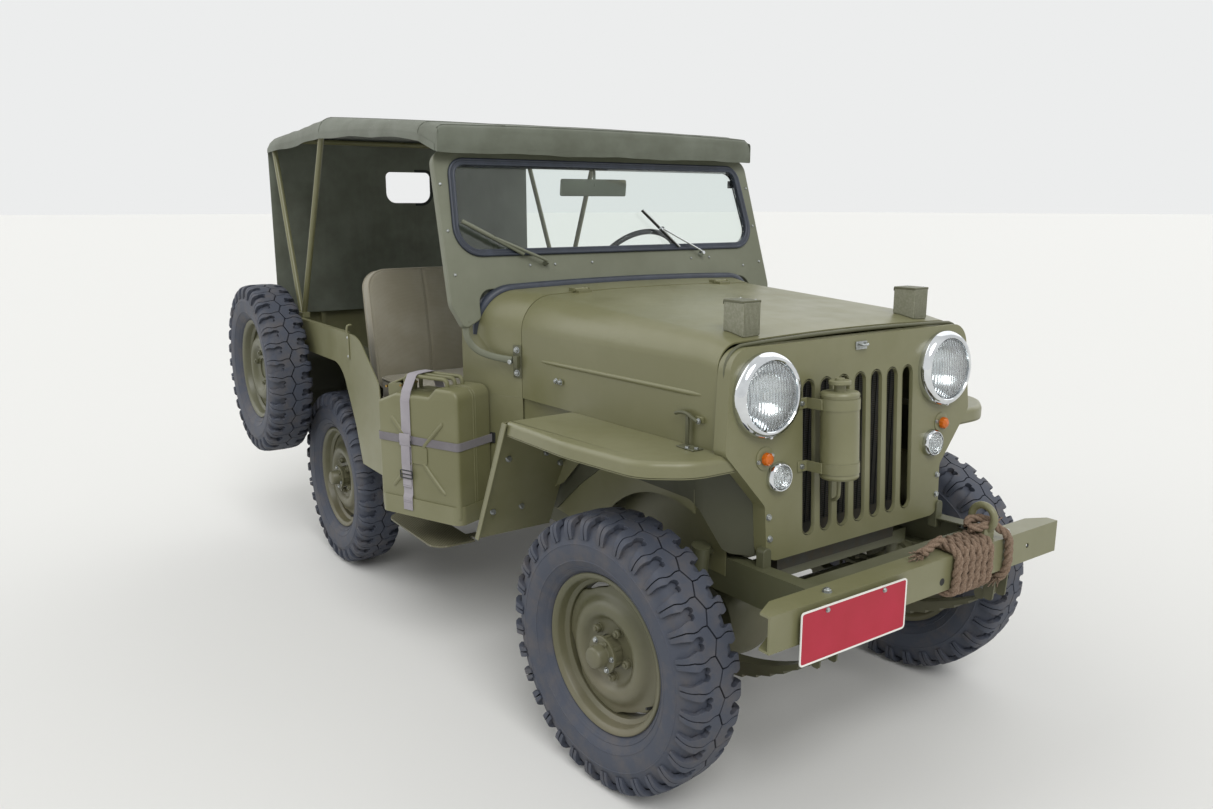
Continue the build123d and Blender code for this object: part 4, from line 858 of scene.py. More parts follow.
rim, bucket, lens = makeHeadlamp()
for piece in (rim, bucket, lens):
    moved(piece, *onGrille(frontSpec["lampY"], frontSpec["lampZ"]))
bothSides(rim, "headlampRim", "chromePlate", stands=["lamps"])
bothSides(bucket, "headlampReflector", "chromePlate")
bothSides(lens, "headlampLens", "lampGlass")

# direction signal: amber dome on a round base with two screws
signal = spunPiece([(.004, .016), (.012, .016), (.018, .014), (.0215, .009), (.0225, .0001)], "X", 32)
for number in range(10):
    rib = moved(boxPiece((.006, -.0008, .0148), (.016, .0008, .0168), .0003, 1), turn(36 * number, "X"))
    signal = joined([signal, rib])
base = spunPiece([(0, .03), (.0022, .0298), (.003, .0285), (.003, .017), (.006, .0168),
                  (.006, .0001)], "X", 40)
ears = [frontNut(.005, .0045, (.0025, side * .0235, side * -.006)) for side in (1, -1)]
moves = onGrille(frontSpec["signalY"], frontSpec["signalZ"])
bothSides(moved(signal, *moves), "signalDome", "amberAcrylic")
bothSides(moved(base, *moves), "signalBase", "bodyEnamel")
bothSides(moved(joined(ears), *moves), "signalScrews", "zincPlate")

# park lamp: chrome bezel round a stepped clear lens
bezel = spunPiece([(0, .0395), (.006, .0402), (.014, .0385), (.0185, .0345), (.0185, .0325), (.014, .0315),
                   (.01, .0315)], "X", 48)
stepped = [(.012, .032), (.0185, .0318)]
for number in range(4):
    radius = .03 - .0072 * number
    stepped += [(.02 + .0022 * number, radius), (.0225 + .0022 * number, radius - .0016),
                (.0212 + .0022 * number, radius - .005)]
stepped += [(.0285, .002), (.0285, .0001)]
parkLens = useModifier(spunPiece(stepped, "X", 48), "SOLIDIFY", thickness=.002, offset=-1)
dish = spunPiece([(.01, .0318), (.004, .025), (.002, .0001)], "X", 32)
moves = onGrille(frontSpec["parkY"], frontSpec["parkZ"])
bothSides(moved(joined([bezel, dish]), *moves), "parkBezel", "chromePlate")
bothSides(moved(parkLens, *moves), "parkLens", "lampGlass")

# rear lamps: red lens in a painted round body
rearLamp = (-2.743, .64, .93)
tailBody = spunPiece([(0, .042), (-.02, .042), (-.025, .04), (-.026, .037), (-.022, .036)], "X", 40)
tailLens = spunPiece([(-.02, .0362), (-.027, .035), (-.031, .029), (-.0335, .018), (-.034, .0001)], "X", 40)
bothSides(moved(tailBody, slide(*rearLamp)), "tailLampBody", "bodyEnamel")
bothSides(moved(tailLens, slide(*rearLamp)), "tailLampLens", "redAcrylic")
print("lamps made")

# canister: cylinder with rolled seams, neck and cap, on two straps held by zinc screws
tank = spunPiece([(.1535, .0001), (.1535, .04), (.155, .046), (.159, .0498), (.1625, .0505), (.164, .0498),
                  (.371, .0498), (.3725, .0505), (.376, .0498), (.38, .046), (.3812, .04), (.3812, .015),
                  (.398, .015), (.398, .027), (.4, .0285), (.407, .0285), (.409, .0265), (.409, .013),
                  (.4145, .012), (.415, .0001)], "Z", 56)
canisterPlace, strapHeights = slide(.066, -.155, 0), (.35, .185)
moved(tank, canisterPlace)
parts = [tank]
for z in strapHeights:
    parts.append(boxPiece((-.001, -.24, z - .014), (.0045, -.205, z + .014), .001, 1))
    parts.append(boxPiece((.0005, -.21, z - .014), (.056, -.206, z + .014), .001, 1))
    band = spunPiece([(z - .014, .05), (z - .014, .0518), (z + .014, .0518), (z + .014, .05)], "Z", 56)
    parts.append(moved(band, canisterPlace))
pipe = [(.066, -.155, .154), (.066, -.155, .12), (.058, -.15, .095), (.03, -.14, .085)]
parts.append(tubePiece(pipe, .005))
screws = [frontNut(.0062, .005, (.0045, -.227, z)) for z in strapHeights]
lean = (turn(-frontSpec["lean"], "Y"), slide(*frontSpec["foot"]))
finishPiece(moved(joined(parts), *lean), "coolantCanister", "bodyEnamel", stands=["surge_tank"])
finishPiece(moved(joined(screws), *lean), "canisterScrews", "zincPlate")


def slotRim():
    # rolled edge turned back into the grille round one slot
    half = frontSpec["slotHalf"] + .0036
    foot = frontSpec["foot"][2]
    low, high = frontSpec["slotLow"] - foot + half, frontSpec["slotHigh"] - foot - half
    points = [(0, half * cos(a * pi / 10), high + half * sin(a * pi / 10)) for a in range(11)]
    points += [(0, half * cos(a * pi / 10), low + half * sin(a * pi / 10)) for a in range(10, 21)]
    lip = tracedLine([*points, points[0]])
    editAll(lip)
    mergeClose(.00005)
    for back, scale in ((-.0018, .972), (-.0035, .935), (-.0045, .97)):
        bpy.ops.mesh.extrude_region_move(TRANSFORM_OT_translate={"value": (back, 0, 0)})
        bpy.ops.transform.resize(value=(1, scale, 1), center_override=(back, 0, (low + high) / 2))
    pointFacesOut()
    return useModifier(lip, "SOLIDIFY", thickness=.0012, offset=0)


rims = []
pattern = moved(slotRim(), slide(.0006, 0, 0))
for y in slotPlaces:
    rims.append(moved(copied(pattern), slide(0, y, 0), *lean))
discard(pattern)
finishPiece(joined(rims), "grilleSlotEdges", "bodyEnamel")

# radiator core behind the slots: tubes and fins
coreSpec = {"x": .215, "tubes": 24, "tubeStart": -.2185, "tubePitch": .019, "low": .7, "high": 1.086,
            "fins": 64, "finStart": .702, "finPitch": .006, "half": .225, "sheet": .0012}
core = []
for number in range(coreSpec["tubes"]):
    y = coreSpec["tubeStart"] + number * coreSpec["tubePitch"]
    core.append(boxPiece((coreSpec["x"], y - coreSpec["sheet"], coreSpec["low"]),
                         (coreSpec["x"] + .0035, y + coreSpec["sheet"], coreSpec["high"])))
for number in range(coreSpec["fins"]):
    z = coreSpec["finStart"] + number * coreSpec["finPitch"]
    core.append(boxPiece((coreSpec["x"], -coreSpec["half"], z),
                         (coreSpec["x"] + .0022, coreSpec["half"], z + coreSpec["sheet"])))
finishPiece(joined(core), "radiatorFins", "blackSatin")

# grille bolts on the lower flanges, and the latch at the top of the grille
flangeBolts = [frontNut(.0075, .006, (0, 0, 0), *onGrille(y, z), slide(.0005, 0, 0))
               for y, z in ((-.342, .77), (-.339, .712))]
bothSides(joined(flangeBolts), "grilleBolts", "zincPlate")
plate = boxPiece((0, -.022, .47), (.004, .022, .492), .0015)
hook = tubePiece([(.004, -.014, .486), (.016, -.014, .484), (.018, 0, .482), (.016, .014, .484),
                  (.004, .014, .486)], .0035)
finishPiece(moved(joined([plate, hook]), *lean), "hoodSafetyCatch", "zincPlate")

# number plate: stoved red face, white raised border, left blank, on two plated bolts
plateSpec = {"y": -.305, "z": .577, "x": .54, "width": .372, "height": .134, "corner": .01, "border": .0045}
half, tall = plateSpec["width"] / 2, plateSpec["height"] / 2
edge = roundedBox((-half, -tall), (half, tall), [plateSpec["corner"]] * 4, 4)
plate = cutPlate([(plateSpec["x"], plateSpec["y"] + y, plateSpec["z"] + z) for y, z in edge], (.0025, 0, 0))
selectFaces(plate, lambda polygon: polygon.normal.x > .9)
bpy.ops.mesh.inset(thickness=plateSpec["border"])
bpy.ops.transform.translate(value=(-.0006, 0, 0))
leaveEdit()
giveFinish(plate, "plateWhite", "plateRed")
for polygon in plate.data.polygons:
    polygon.material_index = 1 if polygon.normal.x > .9 and polygon.area > .02 else 0
finishPiece(plate, "numberPlateFace", None, slotName="red_plate", stands=["number_plate"])
bosses, bolts = [], []
for y in (plateSpec["y"] + .1, plateSpec["y"] - .1):
    bosses.append(moved(spunPiece([(.528, .0085), (.5402, .0085)], "X", 20), slide(0, y, .632)))
    bolts.append(frontNut(.0055, .004, (.5425, y, .632)))
finishPiece(joined(bosses), "plateSpacers", "bodyEnamel")
finishPiece(joined(bolts), "plateBolts", "zincPlate")
print("front fittings made")


crownRise = .008  # of the hood, the cowl and the roof, in their middle

# Folding top: proofed duck stretched over the screen and two bows, with hems, seams and a rear curtain
topSpec = {
    # x, half width, hem height, crown height, shoulder radius
    "stations": [(-.905, .672, 1.712, 1.806, .03), (-1.01, .69, 1.752, 1.822, .045),
                 (-1.35, .694, 1.787, 1.856, .06), (-1.966, .694, 1.812, 1.905, .064),
                 (-2.68, .694, 1.79, 1.87, .064), (-2.712, .694, 1.788, 1.864, .064)],
    "bows": (-.93, -1.966, -2.68),
    "sag": .012,
    "thickness": .0024,
    "inset": .0015,
    "roll": .014,
    "curtainLow": 1.035,
    "curtainX": -2.7085,
    "window": (.12, 1.56, 1.712),
    "windowCorners": (.025, .025, .05, .05),
}


def stationAt(rows, x):
    # sizes at x, between the rows given in order of x
    for before, after in zip(rows, rows[1:]):
        if x >= after[0] or after is rows[-1]:
            part = max(0, min(1, (before[0] - x) / (before[0] - after[0])))
            return [a + (b - a) * part for a, b in zip(before[1:], after[1:])]


def crownHeight(y, flat, side):
    return side + crownRise * (1 - (y / flat) ** 2)


def archedSection(share, half, side, radius, low):
    # straight sides, round shoulders and a crowned top; share is 0 in the middle and 1 at a side's foot
    flat, bend, wall = half - radius, radius * pi / 2, side - radius - low
    reach = share * (flat + bend + wall)
    if reach < flat:
        return reach, crownHeight(reach, flat, side)
    if reach < flat + bend:
        angle = (reach - flat) / radius
        return flat + radius * sin(angle), side - radius + radius * cos(angle)
    return half, side - radius - (reach - flat - bend)


def sectionTop(y, half, side, radius):
    # height of the same section at y
    flat = half - radius
    if abs(y) < flat:
        return crownHeight(y, flat, side)
    return side - radius + sqrt(max(0, radius ** 2 - (abs(y) - flat) ** 2))


def roofPoint(x, across, lift=.0):
    # across runs from -1 at the right hem over the crown to 1 at the left hem
    half, hem, crown, radius = stationAt(topSpec["stations"], x)
    grow = lift - topSpec["inset"]
    half, crown, radius = half + grow, crown + grow, radius + grow
    side = crown - crownRise
    y, z = archedSection(abs(across), half, side, radius, hem)
    first, second, third = topSpec["bows"]
    start, end = (first, second) if x > second else (second, third)
    span = max(.0, min(1.0, (start - x) / (start - end)))
    hang = sin(pi * span)
    slack = topSpec["sag"] * hang * (1 - (y / half) ** 4)
    ripple = (sin(x * 41 + sin(y * 11) * 1.4) * .0012 + sin(x * 19 + y * 27) * .0011) * hang
    if y < half - radius * .3:
        z -= slack - ripple
    drop = max(.0, (side - z) / (side - hem))
    y -= .009 * hang * drop - .0022 * sin(x * 31) * drop * hang
    z -= .0045 * drop ** 3 * sin(x * 13 + 1) * hang
    return (x, y if across > 0 else -y, z)


def clothGrid(rows, columns, place):
    # a grid whose corners are set by place(u, v), both from 0 to 1
    deselectAll()
    bpy.ops.mesh.primitive_grid_add(x_subdivisions=columns, y_subdivisions=rows, size=2)
    cloth = bpy.context.object
    for vertex in cloth.data.vertices:
        vertex.co = place((vertex.co.x + 1) / 2, (vertex.co.y + 1) / 2)
    return cloth


def clothWall(cloth, thickness, flipped=False):
    # points the faces outwards, then gives the cloth its thickness inwards
    if flipped:
        flipFaces(cloth)
    return useModifier(cloth, "SOLIDIFY", thickness=thickness, offset=-1, material_offset=1)


frontX, rearX = topSpec["stations"][0][0], topSpec["stations"][-1][0]
roofFront = frontX - topSpec["roll"]


def valancePoint(u, v, lift=.0):
    # front face of the top, rolled back into the roof along its upper edge
    half, hem, crown, radius = topSpec["stations"][0][1:]
    y = (2 * u - 1) * (half - .0008)
    top = sectionTop(y, half, crown - crownRise - topSpec["inset"], radius)
    roll = topSpec["roll"]
    length = (top - roll - hem) + roll * pi / 2
    reach = v * length
    pucker = sin(y * 16 + 1) * .0022 + sin(y * 43) * .0008
    if reach < top - roll - hem:
        share = reach / (top - roll - hem)
        return (frontX - .0035 + .003 * sin(pi * share) + pucker * (1 - share) + lift, y,
                hem + reach + pucker * .8)
    angle = (reach - (top - roll - hem)) / roll
    return (frontX - .0035 - roll + roll * cos(angle) + lift, y, top - roll + roll * sin(angle) + lift * .5)


def roofX(u):
    return roofFront + (rearX + .004 - roofFront) * u


thickness = topSpec["thickness"]
roof = clothWall(clothGrid(64, 150, lambda u, v: roofPoint(roofX(u), 2 * v - 1)), thickness, True)
sideFront = []
for side in (1, -1):
    def cheekPoint(u, v):
        return roofPoint(frontX - topSpec["roll"] * u - .0005, side * (.905 + .095 * v))

    sideFront.append(clothWall(clothGrid(8, 4, cheekPoint), thickness, side > 0))
valance = clothWall(clothGrid(14, 90, valancePoint), thickness)
shell = joined([roof, valance, *sideFront])
# outer faces take the roof duck, inner faces the darkened duck as painted shade
giveFinish(shell, "roofDuck", "innerDuck")


def seamStrip(place, rows, columns, flipped=False):
    strip = clothGrid(rows, columns, place)
    if flipped:
        flipFaces(strip)
    return useModifier(strip, "SOLIDIFY", thickness=.0016, offset=-1)


seams = []
for side in (1, -1):  # doubled hem along each side, and a lap seam on each side of the roof
    for start, width, lift, rows in ((.972, .03, .0013, 3), (.56, .014, .0012, 2)):
        def seamPoint(u, v):
            return roofPoint(roofX(u), side * (start + width * v), lift)

        seams.append(seamStrip(seamPoint, rows, 150, side > 0))
for x in (-1.015, -1.966):
    seams.append(seamStrip(lambda u, v: roofPoint(x - .016 * u, 1.96 * v - .98, .0014), 90, 2, True))
seams.append(seamStrip(lambda u, v: valancePoint(u, .16 * v, .0012), 3, 90))
hem = joined(seams)
finishPiece(shell, "roofCanvas", None, slotName="roof_canvas", stands=["canvas_top"], smooth=60)
finishPiece(hem, "roofSeams", "roofDuck", smooth=60)


def curtainPoint(u, v, lift=.0):
    half, crown, radius = topSpec["stations"][-1][1] - .0025, *topSpec["stations"][-1][3:]
    y = (2 * u - 1) * half
    top = sectionTop(y, half, crown - crownRise - topSpec["inset"] - .0006, radius)
    z = topSpec["curtainLow"] + (top - topSpec["curtainLow"]) * v
    loose = sin(pi * v) * (1 - abs(2 * u - 1) ** 8)
    fold = (sin(y * 21 + z * 1.5) * .003 + sin(y * 47 - z * 3) * .0014) * loose
    return (topSpec["curtainX"] + fold - lift, y, z)


def windowOutline(grow, x):
    half, low, high = topSpec["window"]
    outline = roundedBox((-half - grow, low - grow), (half + grow, high + grow),
                         [radius + grow for radius in topSpec["windowCorners"]])
    return [(x, y, z) for y, z in outline]


curtain = clothWall(clothGrid(40, 70, curtainPoint), .0022, True)
hole = cutPlate(windowOutline(0, -2.76), (.1, 0, 0))
cutAway(curtain, hole)
rimOut = cutPlate(windowOutline(.014, topSpec["curtainX"] - .0048), (.007, 0, 0))
cutAway(rimOut, hole)
discard(hole)
edges = [seamStrip(lambda u, v: curtainPoint(u, .035 * v, .0012), 2, 60, True)]
for side in (0, .978):
    edges.append(seamStrip(lambda u, v: curtainPoint(side + .022 * u, v, .0012), 30, 2, True))
# the curtain's inner faces and its hems take the darkened duck, painted shade inside the top
giveFinish(curtain, "roofDuck", "innerDuck")
curtainHem = joined([rimOut, *edges])
finishPiece(curtain, "rearCurtain", None, slotName="roof_canvas", smooth=60)
finishPiece(curtainHem, "curtainHems", "innerDuck", smooth=60)
print("folding top made")


# Seats: canvas pads filled with hair, piped along their edges, with a seam down the middle of each back
seatSpec = {
    "width": .462, "centres": {"driver": .385, "passenger": -.405},
    "cushion": {"size": (.437, .092), "place": (-1.3675, .846), "corner": .045},
    "back": {"size": (.472, .08), "place": (-1.662, 1.062), "lean": 9.0, "corner": .072},
    "voxel": .009, "pressure": 4.0, "cap": .013, "frames": 20, "piping": .0042, "edge": .014, "rim": .012,
    "seam": (.005, .0055), "crease": (.0016, .04), "dish": (.007, .17, .19),
}


def padBlock(length, thickness, corner):
    # length runs along X and thickness along Z
    half = length / 2, seatSpec["width"] / 2
    outline = roundedBox((-half[0], -half[1]), half, (corner, .035, .035, corner))
    points = [(x, y, -thickness / 2) for x, y in outline]
    return cutPlate(points, (0, 0, thickness), seatSpec["edge"], 3), points


def puffed(pad, held):
    # blown up by a cloth simulation between its held seams, each point kept within the cap
    useModifier(pad, "REMESH", mode="VOXEL", voxel_size=seatSpec["voxel"])
    start = [vertex.co.copy() for vertex in pad.data.vertices]
    seam = pad.vertex_groups.new(name="seam")
    seam.add([number for number, place in enumerate(start) if held(place)], 1.0, "REPLACE")
    cloth = pad.modifiers.new("filling", "CLOTH")
    cloth.settings.use_pressure = True
    cloth.settings.uniform_pressure_force = seatSpec["pressure"]
    cloth.settings.effector_weights.gravity = 0
    cloth.settings.vertex_group_mass = "seam"
    cloth.point_cache.frame_start, cloth.point_cache.frame_end = 1, seatSpec["frames"]
    for number in range(1, seatSpec["frames"] + 1):
        bpy.context.scene.frame_set(number)
    swollen = pad.evaluated_get(bpy.context.evaluated_depsgraph_get()).data
    ends = [vertex.co.copy() for vertex in swollen.vertices]
    pad.modifiers.remove(cloth)
    bpy.context.scene.frame_set(1)
    for vertex, before, after in zip(pad.data.vertices, start, ends):
        way = after - before
        vertex.co = before + way * min(1, seatSpec["cap"] / max(way.length, 1e-6))
    pad.vertex_groups.clear()
    return useModifier(pad, "SUBSURF", levels=1, render_levels=1)


def pipedEdge(pad, points, thickness):
    # cord sewn in along both outer edges, laid on the swollen surface
    rings = []
    skin = BVHTree.FromObject(pad, bpy.context.evaluated_depsgraph_get())
    for level in (thickness / 2 - .006, -thickness / 2 + .006):
        ring = []
        for x, y, z in points:
            place, normal = skin.find_nearest(Vector((x * 1.012, y * 1.012, level)))[:2]
            ring.append(place + normal * .0012)
        rings.append(tubePiece(ring, seatSpec["piping"], 3, closed=True))
    return rings


def bell(distance, width):
    return 2.718 ** (-(distance / width) ** 2)


def makePad(kind):
    spec = seatSpec[kind]
    length, thickness = spec["size"]
    pad, points = padBlock(length, thickness, spec["corner"])
    edgeLine = thickness / 2 - seatSpec["edge"]

    def held(place):
        rim = seatSpec["rim"]
        onRim = abs(place.x) > length / 2 - rim or abs(place.y) > seatSpec["width"] / 2 - rim
        return (onRim and abs(place.z) > edgeLine) or (kind == "cushion" and place.z < -edgeLine)

    puffed(pad, held)
    (sewn, seamWidth), (crease, creaseWidth) = seatSpec["seam"], seatSpec["crease"]
    dish, dishLength, dishWidth = seatSpec["dish"]
    for vertex in pad.data.vertices:
        x, y, z = vertex.co
        if z <= 0:
            continue
        if kind == "back":
            vertex.co.z -= sewn * bell(y, seamWidth) + crease * sin(x * 38 + 1) * bell(y, creaseWidth)
        else:  # a shallow dish where it is sat on
            vertex.co.z -= dish * max(0, 1 - (x / dishLength) ** 2) * max(0, 1 - (y / dishWidth) ** 2)
    trim = pipedEdge(pad, points, thickness)
    if kind == "back":
        line = []
        skin = BVHTree.FromObject(pad, bpy.context.evaluated_depsgraph_get())
        for number in range(25):
            x = -length / 2 + .02 + (length - .03) * number / 24
            place, normal = skin.find_nearest(Vector((x, .0045, thickness / 2 + .01)))[:2]
            line.append(place + normal * .0004)
        trim.append(tubePiece(line, .0011, 2))
    return pad, joined(trim)


for kind in ("cushion", "back"):
    pad, trim = makePad(kind)
    spec = seatSpec[kind]
    x, z = spec["place"]
    upright = [] if kind == "cushion" else [turn(-90, "Y"), turn(180, "Z"), turn(-spec["lean"], "Y")]
    stand = [*upright, slide(x, 0, z)]
    for person, y in seatSpec["centres"].items():
        name = person + kind.capitalize()
        finishPiece(moved(copied(trim), *stand, slide(0, y, 0)), name + "Piping", "seatDuck", smooth=60)
        ownPad = finishPiece(moved(copied(pad), *stand, slide(0, y, 0)), name, "seatDuck",
                             stands=[person + "_seat"] if kind == "back" else (), smooth=60)
    discard(pad, trim)
print("seats made")


# Fuel can: two pressed halves with a welded seam, ribs in a cross, three handles, spout clamp and webbing
canSpec = {
    "place": (-.925, -.6433, 0), "turned": 23.27, "length": .345, "near": -.0048, "depth": .165, "low": .54,
    "edge": .016, "seam": .0022, "handleRadius": .0068, "handleShares": (.28, .5, .72),
    "strapX": -.045, "strapWidth": .04, "bandHeight": .027, "bandZ": .8,
}


def roundedPath(corners, steps=6, closed=True):
    # (a, b, radius) corners joined by straight runs and arcs
    places = []
    count = len(corners)
    for number, (a, b, radius) in enumerate(corners):
        here = Vector((a, b))
        if radius <= 0 or (not closed and number in (0, count - 1)):
            places.append(here)
            continue
        before = Vector(corners[number - 1][:2]) - here
        after = Vector(corners[(number + 1) % count][:2]) - here
        half = before.angle(after) / 2
        reach = min(radius / tan(half), before.length * .499, after.length * .499)
        radius = reach * tan(half)
        middle = here + (before.normalized() + after.normalized()).normalized() * (radius / sin(half))
        first, last = here + before.normalized() * reach - middle, here + after.normalized() * reach - middle
        for step in range(steps + 1):
            spoke = first.slerp(last, step / steps).normalized() * radius
            places.append(middle + spoke)
    return places


def grownPath(places, distance):
    # the same closed path, moved outwards everywhere
    area = sum(a.x * b.y - b.x * a.y for a, b in zip(places, places[1:] + places[:1]))
    grown = []
    for number, place in enumerate(places):
        before = (place - places[number - 1]).normalized()
        after = (places[(number + 1) % len(places)] - place).normalized()
        outward = Vector((before.y + after.y, -before.x - after.x)).normalized() * (1 if area > 0 else -1)
        grown.append(place + outward * distance)
    return grown


def webStrap(points, across, thickness=.0022):
    # flat webbing along points, as wide as the vector across
    strap = tracedLine(points)
    editAll(strap)
    bpy.ops.mesh.extrude_region_move(TRANSFORM_OT_translate={"value": across})
    leaveEdit()
    useModifier(strap, "SOLIDIFY", thickness=thickness, offset=0)
    return roundEdges(strap, thickness * .3, 1, 60)


canHalf, canTop = canSpec["length"] / 2, canSpec["low"] + .44
canFar = canSpec["near"] - canSpec["depth"]
canMiddle = (canFar + canSpec["near"]) / 2
canOutline = roundedPath([(-canHalf, .546, .02), (canHalf, .546, .02), (canHalf, canTop, .034),
                          (.08, canTop, .012), (.05, canTop - .03, .012), (-.09, canTop - .03, .012),
                          (-canHalf, canTop - .062, .018)])
body = cutPlate([(a, canFar, b) for a, b in canOutline], (0, canSpec["depth"], 0), canSpec["edge"], 4)
canParts = [body]
for offset in (-.0065, .005):  # welded flange, two ridges side by side
    ridge = grownPath(canOutline, canSpec["seam"])
    canParts.append(cutPlate([(a, canMiddle + offset - .0016, b) for a, b in ridge], (0, .0032, 0), .0008, 1))
flat = grownPath(canOutline, .0006)
canParts.append(cutPlate([(a, canMiddle - .0085, b) for a, b in flat], (0, .016, 0)))
crossZ = .7535
for face in (1, -1):
    y = canMiddle + face * (canSpec["depth"] / 2 - .0015)
    for end in (1, -1):  # ribs of the cross stop short of a flat middle
        for start, stop in ((.22, .92), (-.22, -.92)):
            a = (end * .118 * start, crossZ + .125 * start)
            b = (end * .118 * stop, crossZ + .125 * stop)
            ease = (b[1] - a[1]) * .05
            route = [(a[0], y - face * .003, a[1]), (a[0] * 1.08, y, a[1] + ease),
                     (b[0] * .97, y, b[1] - ease), (b[0], y - face * .003, b[1])]
            canParts.append(tubePiece(route, .008, 3))
    square = [(.042, crossZ + .03, .01), (.042, crossZ - .03, .01), (-.042, crossZ - .03, .01),
              (-.042, crossZ + .03, .01)]
    canParts.append(cutPlate([(a, y + face * .003, b) for a, b in roundedPath(square, 3)],
                             (0, face * .0018, 0), .0008, 1))
for share in canSpec["handleShares"]:
    y = canSpec["near"] - canSpec["depth"] * share
    high = canSpec["low"] + .463
    bar = roundedPath([(-.085, canTop - .04, 0), (-.085, high, .018), (.095, high, .018),
                       (.095, canTop - .008, 0)], 5, closed=False)
    canParts.append(tubePiece([(a, y, b) for a, b in bar], canSpec["handleRadius"], 3, kind="POLY"))
tilt = [turn(-24, "Y"), slide(-.128, canMiddle, canTop - .052)]
spout = spunPiece([(-.01, .029), (.02, .029), (.02, .032), (.026, .0325), (.028, .03), (.034, .028),
                   (.038, .024), (.04, .012), (.04, .0001)], "Z", 40)
canParts.append(moved(spout, *tilt))
cheek = roundedPath([(-.036, .004, .006), (.03, .004, .006), (.044, .034, .008), (-.018, .05, .008)], 4)
cheeks = [cutPlate([(a, side * .0345, b) for a, b in cheek], (0, side * .003, 0), .0008, 1)
          for side in (1, -1)]
arm = roundedPath([(-.02, .041, .004), (.052, .041, .006), (.058, .047, .004), (-.016, .05, .004)], 4)
lever = cutPlate([(a, -.0345, b) for a, b in arm], (0, .069, 0), .0015, 1)
hingePin = tubePiece([(-.026, -.041, .044), (-.026, .041, .044)], .0042, 3)
lockPin = tubePiece([(.036, -.041, .026), (.036, .041, .026)], .0036, 3)
canParts.append(moved(joined([*cheeks, lever]), *tilt))
pins = moved(joined([hingePin, lockPin]), *tilt)
canMoves = [turn(canSpec["turned"], "Z"), slide(*canSpec["place"])]
finishPiece(moved(joined(canParts), *canMoves), "jerrycanBody", "canEnamel", stands=["fuel_can"])
finishPiece(moved(pins, *canMoves), "spoutPins", "brassFitting")

# webbing: a light strap over the handles with a slide and a buckle, and a darker band round the can
upright = roundedPath([(-.1772, .562, 0), (-.1772, .606, .01), (-.1728, .618, .01), (-.1728, .93, .02),
                       (-.164, .96, .02), (-.133, 1.011, .014), (-.087, 1.0125, .02), (-.046, 1.011, .014),
                       (-.008, .965, .02), (-.003, .95, .01), (-.003, .615, 0)], 5, closed=False)
x = canSpec["strapX"] - canSpec["strapWidth"] / 2
wide = (canSpec["strapWidth"], 0, 0)
strap = webStrap([(x, a, b) for a, b in upright], wide)
looseEnd = roundedPath([(-.1758, .806, .003), (-.1795, .776, .01), (-.18, .72, .015), (-.1764, .672, .01),
                        (-.1765, .64, 0)], 4, closed=False)
looseStrap = webStrap([(x + .001, a, b) for a, b in looseEnd], (canSpec["strapWidth"] - .002, 0, 0))
fold = roundedPath([(-.1766, .818, 0), (-.18, .82, .004), (-.1812, .8, .006), (-.18, .782, .004),
                    (-.1766, .78, 0)], 4, closed=False)
foldStrap = webStrap([(x - .003, a, b) for a, b in fold], (canSpec["strapWidth"] + .006, 0, 0), .003)
finishPiece(moved(joined([strap, looseStrap, foldStrap]), *canMoves), "canStrap", "strapWeb")
bandPath = [(canHalf + .0016, -.0035, 0), (canHalf + .0016, canFar - .0016, .012),
            (-canHalf - .0016, canFar - .0016, .012), (-canHalf - .0016, -.0035, 0)]
low = canSpec["bandZ"] - canSpec["bandHeight"] / 2
band = webStrap([(a, b - .0003, low) for a, b in roundedPath(bandPath, 6, closed=False)],
                (0, 0, canSpec["bandHeight"]))
finishPiece(moved(band, *canMoves), "canBand", "darkWeb")
buckles = []
for z, half, tall in ((.684, .026, .013), (.792, .025, .006)):
    frameLine = [(-half, -tall, .004), (half, -tall, .004), (half, tall, .004), (-half, tall, .004)]
    ring = [(canSpec["strapX"] + a, -.1795, z + b) for a, b in roundedPath(frameLine, 3)]
    buckles.append(tubePiece(ring, .0021, 2, closed=True, kind="POLY"))
    bar = [(canSpec["strapX"] + a, -.1795, z) for a in (-half, half)]
    buckles.append(tubePiece(bar, .0019, 2))
for x in (canHalf + .004, -canHalf - .004):
    high = low + canSpec["bandHeight"]
    buckles.append(boxPiece((x - .01, -.0042, low - .004), (x + .01, -.0002, high + .004), .001, 1))
finishPiece(moved(joined(buckles), *canMoves), "strapBuckles", "blackSatin")
stitches = []
for z in (.588, .594, .64, .646):
    for number in range(9):
        a = canSpec["strapX"] - .016 + number * .004
        y = -.1786 if z < .6 else -.178
        stitches.append(boxPiece((a - .0012, y - .0004, z - .0004), (a + .0012, y + .0004, z + .0004)))
finishPiece(moved(joined(stitches), *canMoves), "strapStitches", "darkWeb")
print("fuel can made")


# Towing rope: three-strand sisal wound six times round the bumper, its end brought up through the tow ring
ropeSpec = {
    "radius": .0128, "turns": 6, "first": .062, "pitch": .0275, "lay": .078, "strand": .0065,
    "strandPlace": .006,
    "back": .463, "front": .528, "low": .56, "high": .652, "gap": .0006, "step": .0065,
    "backBend": .024, "frontBend": .022, "yarn": .0016,
}


